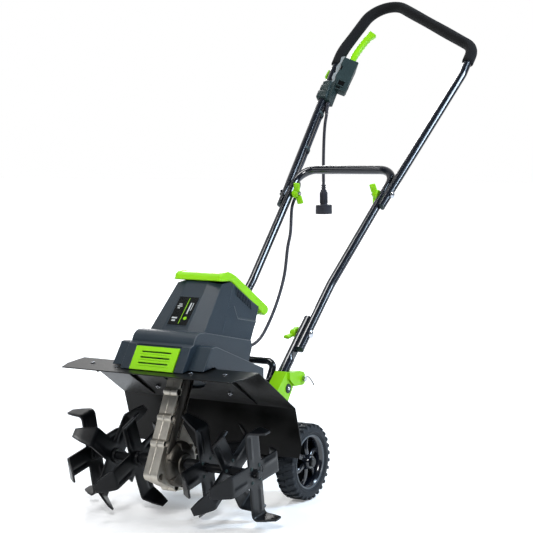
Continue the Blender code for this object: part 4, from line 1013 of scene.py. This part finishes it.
def blade_stations(degrees, length):
    """Along a blade: (radial, x, high edge's share, low edge's share, how far pressed)."""
    start = BLADE_BEND_R - BEND_RADIUS
    angle = math.radians(abs(degrees))
    sign = 1 if degrees > 0 else -1
    stations = [(BLADE_HALF + 9, 0, 1, 1, 0), (BLADE_HALF + 13, 0, 1, 1, 1), (start - 5, 0, 1, 1, 1),
                (start - 1, 0, 1, 1, 0)]
    for k in range(1, BEND_STEPS + 1):
        a = angle * k / BEND_STEPS
        stations.append((start + BEND_RADIUS * math.sin(a), sign * BEND_RADIUS * (1 - math.cos(a)), 1, 1, 0))
    bend_end, bend_x = stations[-1][:2]
    for reach, high, low in ((length * 0.5, 0.93, 0.62), (length, 0.75, 0.1)):
        radial, side_x = bend_end + reach * math.cos(angle), bend_x + sign * reach * math.sin(angle)
        stations.append((radial, side_x, high, low, 0))
    return stations


def tine_shape(x, turn, bends, outward):
    """A four-bladed tine of sheet steel, with a pressed rib along every blade."""
    shape = bmesh.new()

    def corner(radial, width, side_x, quarter):
        out, around = spoke_axes(math.radians(180 + turn + 90 * quarter))
        return shape.verts.new(Vector((x + side_x, 0, SHAFT_Z)) + out * radial + around * width)

    across = [BLADE_HALF * share for share in ROWS]
    hub, rim = [], []
    for quarter in range(4):
        for width in across[:-1]:
            rim.append(corner(BLADE_HALF, width, 0, quarter))
            angle = math.atan2(width, BLADE_HALF)
            hub.append(corner(math.cos(angle) * HUB_BORE_R, math.sin(angle) * HUB_BORE_R, 0, quarter))
    band(shape, hub, rim)
    count = len(across) - 1
    for quarter, (degrees, length) in enumerate(bends):
        previous = [rim[(quarter * count + k) % len(rim)] for k in range(count + 1)]
        for radial, side_x, high, low, pressed in blade_stations(degrees, length):
            row = []
            for width, rise in zip(across, RISE):
                share = high if width > 0 else low
                row.append(corner(radial, width * share, side_x + outward * rise * pressed, quarter))
            for corners in zip(previous, previous[1:], row[1:], row):
                shape.faces.new(corners)
            previous = row
    return shape


def make_tines():
    for word, x, turns, bends in TINES:
        for side, hand in SIDES:
            signed = [(side * degrees, length) for degrees, length in bends]
            name = f"tine_{word}_{hand}"
            blade = piece(name + "_blades", tine_shape(side * x, turns[side], signed, side), "tine_shaft",
                          "tine_paint", (name,), sharp=40)
            sheet = blade.modifiers.new("sheet", "SOLIDIFY")
            sheet.thickness = TINE_STEEL * MM
            sheet.offset = 0
            sheet.use_even_offset = True
            round_edges(blade, 0.5, 2, 50)
            centre = Vector((side * x, 0, SHAFT_Z))
            collar = turned([(-6.5, 8.3), (-6.5, 13.5), (-2, 14.5), (-2, 8.3)], 32, outboard(side, centre),
                            ring=True)
            piece(name + "_collar", collar, "tine_shaft", "tine_paint", bevel=0.5)
            rivets = []
            for k in range(4):
                outward = spoke_axes(math.radians(45 + turns[side] + 90 * k))[0]
                spot = centre + X_AXIS * side * TINE_STEEL / 2 + outward * 18.5
                rivets.append(turned([(-0.4, 0), (-0.4, 3.6), (1.0, 3.3), (1.9, 2.0), (2.2, 0)], 20,
                                     pointing(spot, (side, 0, 0))))
            piece(name + "_rivets", joined(*rivets), "tine_shaft", "black_plastic")
    refined(["tine_shaft"], "tine_shaft", "tine_paint", 0.5, slot="zinc_steel")
    for side, word in SIDES:
        x = side * HITCH_X
        pin = rod((x, -13, SHAFT_Z), (x, 13, SHAFT_Z), 1.6, 12, 0.5)
        loop = [Vector((x, 13 + 5 * math.sin(a), SHAFT_Z + 7 - 7 * math.cos(a)))
                for a in (math.pi * k / 10 for k in range(11))]
        piece(f"hitch_pin_{word}", joined(pin, swept(loop, 0.9, 8)), "tine_shaft", "screw_black")
        tube = sleeve(38, 66, 8.3, 12.5, outboard(side, (0, 0, SHAFT_Z)))
        piece(f"shaft_sleeve_{word}", tube, "tine_shaft", "tine_paint", bevel=0.6)


# ---------------------------------------------------------------- wheels and their frame

TREAD_R = WHEEL_R - 3.4
LUGS = 30
LUG_LEAN = 0.32
SPOKES = 6


def mirrored_profile(half):
    """A closed profile from its half beyond X = 0, listed from the inside out."""
    return half + [(-x, radius) for x, radius in reversed(half)]


def make_wheel(side, word):
    body = "wheel_" + word
    centre = Vector((side * WHEEL_X, WHEEL.y, WHEEL.z))
    place = outboard(side, centre)
    tyre = mirrored_profile([(13, 52.2), (15.5, 53), (17, 55), (18.6, 58), (19.4, 62), (19, 66), (17.5, 69.5),
                             (14, TREAD_R), (5, TREAD_R + 0.6)])
    shapes = [turned(tyre, 72, place, ring=True)]
    for k in range(LUGS):
        for row in (-1, 1):
            outward, around = spoke_axes(2 * math.pi * (k + (0.5 if row > 0 else 0.0)) / LUGS)
            along = (X_AXIS - around * LUG_LEAN).normalized()
            spot = centre + X_AXIS * row * 9.2 + outward * (WHEEL_R - 2.6)
            shapes.append(plank(spot, along, outward, around, (15.5, 4.6, 6.4), 0.8))
            shoulder = centre + X_AXIS * row * 17.2 + outward * (WHEEL_R - 6.2) - around * LUG_LEAN * 8
            shapes.append(plank(shoulder, X_AXIS, outward, around, (3.6, 8.6, 6.4), 0.8))
    ring = turned([(18.4, 57.2), (19.9, 58.2), (19.9, 60.0), (18.4, 61)], 72, place, ring=True)
    piece("tyre_tread_" + word, joined(*shapes, ring), body, "tyre_rubber", ("tyre_" + word,))
    rim = mirrored_profile([(14, 52), (15.5, 50.5), (14.5, 48.5), (9, 46), (4, 44.5)])
    hub = mirrored_profile([(20, 6.4), (20, 12), (18.5, 13.5), (12, 14.5), (5, 16)])
    parts = [turned(rim, 72, place, ring=True), turned(hub, 40, place, ring=True)]
    for k in range(SPOKES):
        outward, around = spoke_axes(2 * math.pi * k / SPOKES + 0.3)
        path = [centre + X_AXIS * side * (7 - 5 * t) + outward * (13 + 33 * t)
                + around * 5 * math.sin(3.1 * t) for t in (j / 8 for j in range(9))]
        spoke = swept(path, 1.0, 16)
        for vertex in spoke.verts:
            nearest = min(path, key=lambda point: (point - vertex.co).length)
            offset = vertex.co - nearest
            vertex.co = nearest + X_AXIS * offset.x * 4.2 + (offset - X_AXIS * offset.x) * 6.0
        parts.append(spoke)
    # The web across the wheel's hollow is near-black: painted shade inside the rim.
    web = sleeve(-8, -6.5, 13.5, 46.5, place, 48)
    piece("wheel_web_" + word, web, body, "painted_shade", slot="housing_plastic")
    # A raised ring round the rim in the lighter plastic: a painted highlight along the tyre's inner edge.
    lip = turned([(14.6, 49.5), (16.6, 50.6), (17.2, 52.0), (16.4, 53.4), (14.8, 52.5)], 72, place, ring=True)
    piece("wheel_highlight_ring_" + word, lip, body, "painted_highlight_plastic")
    piece("wheel_centre_" + word, joined(*parts), body, "tube_paint", ("rim_" + word,), sharp=40,
          slot="housing_plastic")


def make_wheel_frame():
    foot = ADJUSTER + Vector((0, 3, 3))
    corners = [foot + X_AXIS * -54, on_handle(-54, 386), on_handle(54, 386), foot + X_AXIS * 54]
    hoop = swept(divided(rounded(corners, (18, 18)), 6), 7.4, 24)
    cross = turned([(-68.6, 0), (-68.6, 7.5), (68.6, 7.5), (68.6, 0)], 28, Matrix.Translation(ADJUSTER))
    piece("wheel_frame_tubes", joined(hoop, cross), "wheel_frame", "tube_paint", ("wheel_frame",), sharp=50)
    arm = [(236, 208), (229, 78)] + arc((240, WHEEL.z), 12, 165, 375, 12)
    arm += [(252, 80), (262, 190), (296, 205)]
    arm += arc((301, 227), 11, -55, 95, 8) + [(281, 232), (252, 230), (240, 224)]
    arms = [prism(arm, *sorted((side * 69, side * 72.5))) for side in (-1, 1)]
    piece("wheel_frame_arms", joined(*arms), "wheel_frame", "tube_paint", bevel=0.7)
    half = WHEEL_X + 20
    axle = [(half + 5, 0), (half + 5, 7), (half + 3.5, 9), (half + 1, 9), (half + 1, 6)]
    axle = [(-x, radius) for x, radius in axle] + axle[::-1]
    hub = Vector((0, WHEEL.y, WHEEL.z))
    piece("axle_rod", turned(axle, 32, Matrix.Translation(hub)), "wheel_frame", "screw_black",
          ("wheel_axle",))
    for side, word in SIDES:
        washer = sleeve(74, 76, 6.3, 12, outboard(side, hub))
        piece(f"axle_washer_{word}", washer, "wheel_frame", "zinc_steel", bevel=0.3)


def end_cap(name, point, direction, radius, body, side, limit):
    """A moulded plug in a tube's open end, flattened like the tube."""
    profile = [(-5, 0), (-5, radius - 1), (0.4, radius - 0.4), (0.4, radius + 0.4), (1.4, radius + 0.3),
               (2.6, radius - 1.4), (3.2, radius - 4), (3.3, 0)]
    shape = turned(profile, 32, pointing(point, direction))
    for vertex in shape.verts:
        if vertex.co.x * side > limit * side:
            vertex.co.x = limit
    piece(name, shape, body, "black_plastic", sharp=50)


def make_rear_frame():
    refined(["frame_plate_left", "frame_plate_right"], "chassis", "tube_paint", 0.8)
    refined(["handle_bracket_left", "handle_bracket_right"], "chassis", "lime_plastic", 2.2, segments=3,
            sharp=60)
    for side, word in SIDES:
        x = side * LOWER_TUBE_X
        presses = [(on_handle(x, LOWER_ALONG), side * (LOWER_PRESS_X - PRESS_GAP), side)]
        tube = swept(divided([on_handle(x, 290), on_handle(x, 502)], 6), LOWER_TUBE_R, 28, presses)
        piece("fixed_tube_" + word, tube, "chassis", "tube_paint", ("lower_tube_" + word,), sharp=50)
        end_cap("fixed_tube_cap_" + word, on_handle(side * (LOWER_TUBE_X - 0.8), 500), UP_HANDLE,
                LOWER_TUBE_R - 0.6, "chassis", side, side * LOWER_PRESS_X)
        out = (side, 0, 0)
        pivot = pointing((side * 103, ADJUSTER.y, ADJUSTER.z), out)
        ring = turned([(-1, 4.4), (-1, 9.2), (1.4, 9.2), (2.0, 8.6), (2.0, 4.4)], 32, pivot, ring=True)
        piece(f"bracket_ring_{word}", ring, "chassis", "black_plastic", bevel=0.3)
        bolt = turned([(-1, 0), (-1, 3.9), (2.2, 3.9), (3.2, 3.2), (3.8, 1.8), (3.8, 0)], 32, pivot)
        piece(f"bracket_bolt_{word}", bolt, "chassis", "zinc_steel")
        rim = turned([(-2, 5.2), (-2, 8.6), (1.0, 8.2), (1.6, 7.4), (1.6, 5.2)], 32,
                     pointing((side * 108, LOCK_Y, LOCK_Z), out), ring=True)
        piece(f"bracket_boss_{word}", rim, "chassis", "lime_plastic", bevel=0.4)
    lock = Vector((0, LOCK_Y, LOCK_Z))
    pin = turned([(73.2, 0), (73.2, 3.4), (74, 4), (112, 4), (112, 5.2), (113, 5.8), (115, 5.8), (116, 5),
                  (116, 0)], 32, Matrix.Translation(lock))
    piece("lock_pin_shaft", pin, "lock_pin", "zinc_steel", ("lock_pin",))
    clip = [lock + Vector(offset) for offset in ((114.4, 2, 2), (114.8, 8, 3), (114, 19, -3), (112, 32, -13),
                                                 (111, 38, -19))]
    piece("lock_pin_wire", swept(smooth_route(clip, 24), 1.2, 10), "lock_pin", "dark_steel_and_painted_shade",
          slot="zinc_steel")


# ---------------------------------------------------------------- handle

KNOB_TURNS = {"lower": math.radians(76), "upper": math.radians(-17)}
KNOB_LEAN = 0.16
BOLT_INNER_X = {"lower": 58, "upper": 90}


def make_middle_handle():
    left, right = ([on_handle(side * MIDDLE_FOOT_X, 421), on_handle(side * MIDDLE_FOOT_X, 596),
                    on_handle(side * (UPPER_MIDDLE_X + 6), 936)] for side in (-1, 1))
    path = divided(rounded(left + right[::-1], (200, 40, 40, 200), 16), 7)
    presses = []
    for side in (-1, 1):
        foot = on_handle(side * MIDDLE_FOOT_X, LOWER_ALONG)
        shoulder = on_handle(side * UPPER_MIDDLE_X, UPPER_ALONG)
        presses += [(foot, side * (LOWER_PRESS_X + PRESS_GAP), -side),
                    (shoulder, side * (UPPER_PRESS_X - PRESS_GAP), side)]
    piece("middle_hoop_tube", swept(path, TUBE_R, 28, presses), "middle_handle", "tube_paint",
          ("middle_handle",), sharp=50)
    for side, word in SIDES:
        end_cap("middle_cap_" + word, on_handle(side * (MIDDLE_FOOT_X + 0.6), 423), -UP_HANDLE, TUBE_R - 0.6,
                "middle_handle", -side, side * LOWER_PRESS_X)
        make_joint(side, word, "lower", LOWER_ALONG, LOWER_TUBE_X - LOWER_TUBE_R, MIDDLE_FOOT_X + TUBE_R)
        make_joint(side, word, "upper", UPPER_ALONG, UPPER_MIDDLE_X - TUBE_R, UPPER_LEG_X + TUBE_R)


def make_joint(side, word, level, along, inner_x, outer_x):
    """A clamped pivot: a domed bolt head outboard and a wing knob inboard."""
    centre = on_handle(0, along)
    place = outboard(side, centre)
    inner_end = BOLT_INNER_X[level]
    head = ((0, 3.5), (0, 8.2), (0.8, 8.6), (2.6, 7.4), (4.2, 4.6), (4.9, 0))
    profile = [(inner_end, 0), (inner_end, 3.0), (inner_end + 0.8, 3.5)]
    profile += [(outer_x + x, radius) for x, radius in head]
    piece(f"{level}_pivot_bolt_{word}", turned(profile, 32, place), "middle_handle", "zinc_steel",
          (f"{level}_bolt_{word}",))
    top = inner_x - 1.0
    knob = ((0, 3.9), (0, 9.4), (1.2, 10.2), (3.5, 10.2), (4.5, 8.6), (12, 7.8), (13.6, 6.8), (13.6, 5.6),
            (9, 5.2), (9, 3.9))
    hub = turned([(top - x, radius) for x, radius in knob], 36, place, ring=True)
    blades = []
    turn = KNOB_TURNS[level]
    wing = Vector((0, math.sin(turn), math.cos(turn)))
    flank = X_AXIS.cross(wing)
    for direction in (-1, 1):
        lean = (wing * direction - X_AXIS * side * KNOB_LEAN).normalized()
        flat = lean.cross(flank).normalized()
        middle = centre + X_AXIS * side * (top - 8.4) + lean * 15.5 + flank * direction * 1.2
        blades.append(plank(middle, flat, lean, flank, (14.0, 19.5, 6.4), 1.9))
        blades.append(plank(middle + lean * 3, flat, lean, flank, (8.0, 9.5, 7.6), 0.8))
    piece(f"{level}_wing_knob_{word}", joined(hub, *blades), f"{level}_knob_{word}", "lime_plastic",
          (f"{level}_knob_{word}",), sharp=50)


def upper_path():
    """The upper handle's centre line: two legs and a skewed loop, higher on the left."""
    corners = [on_handle(-upper_leg_x(UPPER_FOOT), UPPER_FOOT), on_handle(-upper_leg_x(1270), 1270),
               on_handle(-183, 1350), on_handle(-148, 1558), on_handle(170, 1343),
               on_handle(upper_leg_x(1250), 1250), on_handle(upper_leg_x(UPPER_FOOT), UPPER_FOOT)]
    return divided(rounded(corners, (160, 200, 60, 56, 64), 16), 7)


def make_upper_handle():
    path = upper_path()
    presses = [(on_handle(side * UPPER_LEG_X, UPPER_ALONG), side * (UPPER_PRESS_X + PRESS_GAP), -side)
               for side in (-1, 1)]
    piece("upper_loop_tube", swept(path, TUBE_R, 28, presses), "upper_handle", "tube_paint",
          ("upper_handle",), sharp=50)
    first = next(i for i, point in enumerate(path) if point.z > on_handle(0, 1292).z)
    last = next(i for i in reversed(range(len(path))) if path[i].z > on_handle(0, 1284).z)

    def grip_radius(a, b):
        end = min(a, b)
        return FOAM_R - 2.2 * max(0.0, 1 - end / 4) ** 2 + 0.25 * math.sin(a / 23) * min(1, end / 40)

    grip = piece("grip_sleeve", swept(divided(path[first:last + 1], 4), grip_radius, 32), "upper_handle",
                 "foam", ("foam_grip",), sharp=50)
    for side, word in SIDES:
        end_cap("upper_cap_" + word, on_handle(side * (upper_leg_x(UPPER_FOOT) + 0.6), UPPER_FOOT + 2),
                -UP_HANDLE, TUBE_R - 0.6, "upper_handle", -side, side * UPPER_PRESS_X)


# ---------------------------------------------------------------- switch

SWITCH_TURN = math.radians(33)
SWITCH_FOOT = 1236.0
SWITCH_LENGTH = 88.0
LEVER_STATIONS = 96
LEVER_SIDES = 24
TOOTH_PITCH = 9
TOOTH_DEPTH = 3.2


def switch_frame():
    """The switch box's corner nearest the leg, and its along, across and deep directions."""
    foot = on_handle(-upper_leg_x(SWITCH_FOOT), SWITCH_FOOT)
    top = on_handle(-175.8, SWITCH_FOOT + SWITCH_LENGTH)
    along = (top - foot).normalized()
    across = (X_AXIS * math.cos(SWITCH_TURN) + BEHIND * math.sin(SWITCH_TURN)).normalized()
    across = (across - along * across.dot(along)).normalized()
    deep = across.cross(along).normalized()
    if deep.dot(BEHIND) < 0:
        deep = -deep
    return foot + X_AXIS * 18.5, along, across, deep


def on_switch(low, high, chamfer=0.0):
    """A box between two (along, across, deep) corners of the switch."""
    corner, *axes = switch_frame()
    return box(low, high, axes, corner, chamfer)


def switch_sheet(outline, low, high):
    """An (along, across) outline on the box's front, between two depths."""
    corner, along, across, deep = switch_frame()
    return lofted([[corner + along * a + across * c + deep * depth for a, c in outline]
                   for depth in (low, high)])


def make_switch():
    def moulded(name, *shapes, **options):
        return piece(name, joined(*shapes), "upper_handle", "black_plastic", **options)

    refined(["switch_housing"], "upper_handle", "black_plastic", 1.8, segments=3, sharp=60)
    cover = refined(["switch_cover"], "upper_handle", "black_plastic", 2.4, segments=3, sharp=60)[0]
    cut(cover, on_switch((14, 3, 33.4), (80, 26, 36)))
    cut(cover, on_switch((16, 27.6, 19), (74, 31, 33)))
    # The recess is filled with a near-black block: painted shade in the hollow.
    piece("switch_recess", on_switch((5, 27.2, 20), (22, 29.8, 32), 0.5), "upper_handle", "painted_shade")
    moulded("switch_recess_frame", *[on_switch((a, 28.2, 16), (a + 2, 30.2, 33), 0.6) for a in (2.5, 23)])
    moulded("switch_grip_ribs", *[on_switch((30 + 7 * k, 28.4, 22), (32.6 + 7 * k, 29.6, 31), 0.5)
                                  for k in range(7)])
    corner, along, across, deep = switch_frame()
    for k, (a, c) in enumerate(((9, 8), (9, 21), (79, 8), (79, 21))):
        spot = corner + along * a + across * c + deep * 34.2
        screw_head(f"switch_screw_{k}", spot, deep, 2.6, "upper_handle", 2.3)
    face = [(-22, 2), (-22, 31), (86, 28), (86, -7), (62, -8.5), (52, -6), (40, -6), (20, -8), (0, -4)]
    moulded("switch_front_cover", switch_sheet(face, -4.0, 0.6), bevel=1.2, segments=3, sharp=60)
    moulded("switch_foot_block", on_switch((-22, 3, -3.6), (1, 30, 13), 1.5))
    moulded("switch_front_frame", *[on_switch((*low, -6.5), (*high, -3.4), 0.6) for low, high in (
        ((-9, 1), (8, 4)), ((6, 3), (8.5, 20)), ((-12, 1), (-9, 20)))])
    # Near-black patches on the front: painted shade in its recesses.
    dark = [on_switch((*low, -4.5), (*high, -3.8)) for low, high in (
        ((-9, 5), (6, 19)), ((42, -5.8), (54, -1.5)), ((-19, 3), (-14, 14)))]
    piece("switch_front_recess", joined(*dark), "upper_handle", "painted_shade", slot="black_plastic")
    plate = [(-20, -10), (-6, -13), (2, -11), (10, -15), (24, -15), (30, -12), (46, -16), (58, -15),
             (66, -12.5), (84, -15), (90, -10), (90, -6), (-20, -5)]
    piece("switch_plate", switch_sheet(plate, -1.6, 0.2), "upper_handle", "plate_steel", bevel=0.4)
    refined(["switch_clamp"], "upper_handle", "zinc_steel", 0.6)
    leg = (UP_HANDLE - X_AXIS * UPPER_FLARE).normalized()
    for k, (t, wide, high) in enumerate(((1184, 28.5, 26), (1208, 26, 24), (1226, 23.5, 16))):
        spot = on_handle(-upper_leg_x(t), t)
        moulded(f"switch_collar_{k}", plank(spot, X_AXIS, leg, BEHIND, (wide, high, wide - 2), 3.5), sharp=50)
    spot = on_handle(-upper_leg_x(1292) - 12.5, 1268, 3)
    piece("switch_tab", plank(spot, X_AXIS, UP_HANDLE, BEHIND, (4.5, 26, 11), 1.6), "upper_handle",
          "lime_plastic")
    piece("lock_button_cap", on_switch((13.4, 18.5, 1.7), (24.6, 29.5, 5.4), 0.9), "lock_button",
          "black_plastic", ("lock_button",), slot="lime_plastic")


def make_lever():
    """The lime start lever, with a row of teeth on the side that the fingers pull."""
    corner, along, across, deep = switch_frame()
    start = corner + along * (SWITCH_LENGTH - 12) + across * 12.5 + deep * 14
    path = smooth_route([start, start + along * 13, on_handle(-159, 1352, 22), on_handle(-157, 1380, 23),
                         on_handle(-151, 1414, 23), on_handle(-141, 1440, 22)], LEVER_STATIONS)
    rings = []
    for i, (point, ahead) in enumerate(zip(path, headings(path))):
        wide = (deep - ahead * deep.dot(ahead)).normalized()
        thick = ahead.cross(wide).normalized()
        thick = thick if thick.dot(across) > 0 else -thick
        left = LEVER_STATIONS - 1 - i
        toothed = i > 30 and left > 6
        tooth = (1 - (i % TOOTH_PITCH) / TOOTH_PITCH) * TOOTH_DEPTH if toothed else 0.0
        middle = 6.8 + 1.8 * min(1, i / 36) + 1.8 * max(0.0, 1 - left / 8)
        ring = []
        for k in range(LEVER_SIDES):
            a = 2 * math.pi * k / LEVER_SIDES
            u, v = (math.copysign(abs(share) ** 0.5, share) for share in (math.cos(a), math.sin(a)))
            reach = middle - (tooth if v > 0 else 0.0)
            if left < 4 and abs(v) < 0.6:
                u *= 0.9
            ring.append(point + wide * u * 8.6 + thick * v * reach)
        rings.append(ring)
    piece("lever_paddle", lofted(rings), "start_lever", "lime_plastic", ("start_lever",), sharp=35)


# ---------------------------------------------------------------- inner pieces

def make_inner_pieces():
    """Sealed pieces keep their CAD shape with rounded edges, or only get a finish."""
    for name, body, finish, bevel in (
            ("motor_mount_plate", "chassis", "cast_aluminium", 0.6),
            ("motor_stator", "chassis", "zinc_steel", 0.8), ("armature_core", "armature", "copper", 0.5),
            ("cooling_fan", "armature", "black_plastic", 0.5),
            # The bushings' dark finish is painted shade over their bronze.
            ("shaft_bushing_left", "chassis", "dark_steel_and_painted_shade", 0.4),
            ("shaft_bushing_right", "chassis", "dark_steel_and_painted_shade", 0.4)):
        refined([name], body, finish, bevel, limit=50)
    for name, finish in (("motor_shaft", "zinc_steel"), ("worm_wheel", "bronze")):
        NODES[name].data.materials.clear()
        NODES[name].data.materials.append(FINISHES[finish])


# ---------------------------------------------------------------- whole machine

bpy.context.scene.view_settings.view_transform = "Standard"
make_camera()
make_cords()
make_studio()
make_tower()
make_badge()
make_base()
make_cap()
make_deck()
make_gear_case()
make_tines()
for wheel_side, wheel_word in SIDES:
    make_wheel(wheel_side, wheel_word)
make_wheel_frame()
make_rear_frame()
make_middle_handle()
make_upper_handle()
make_switch()
make_lever()
make_inner_pieces()
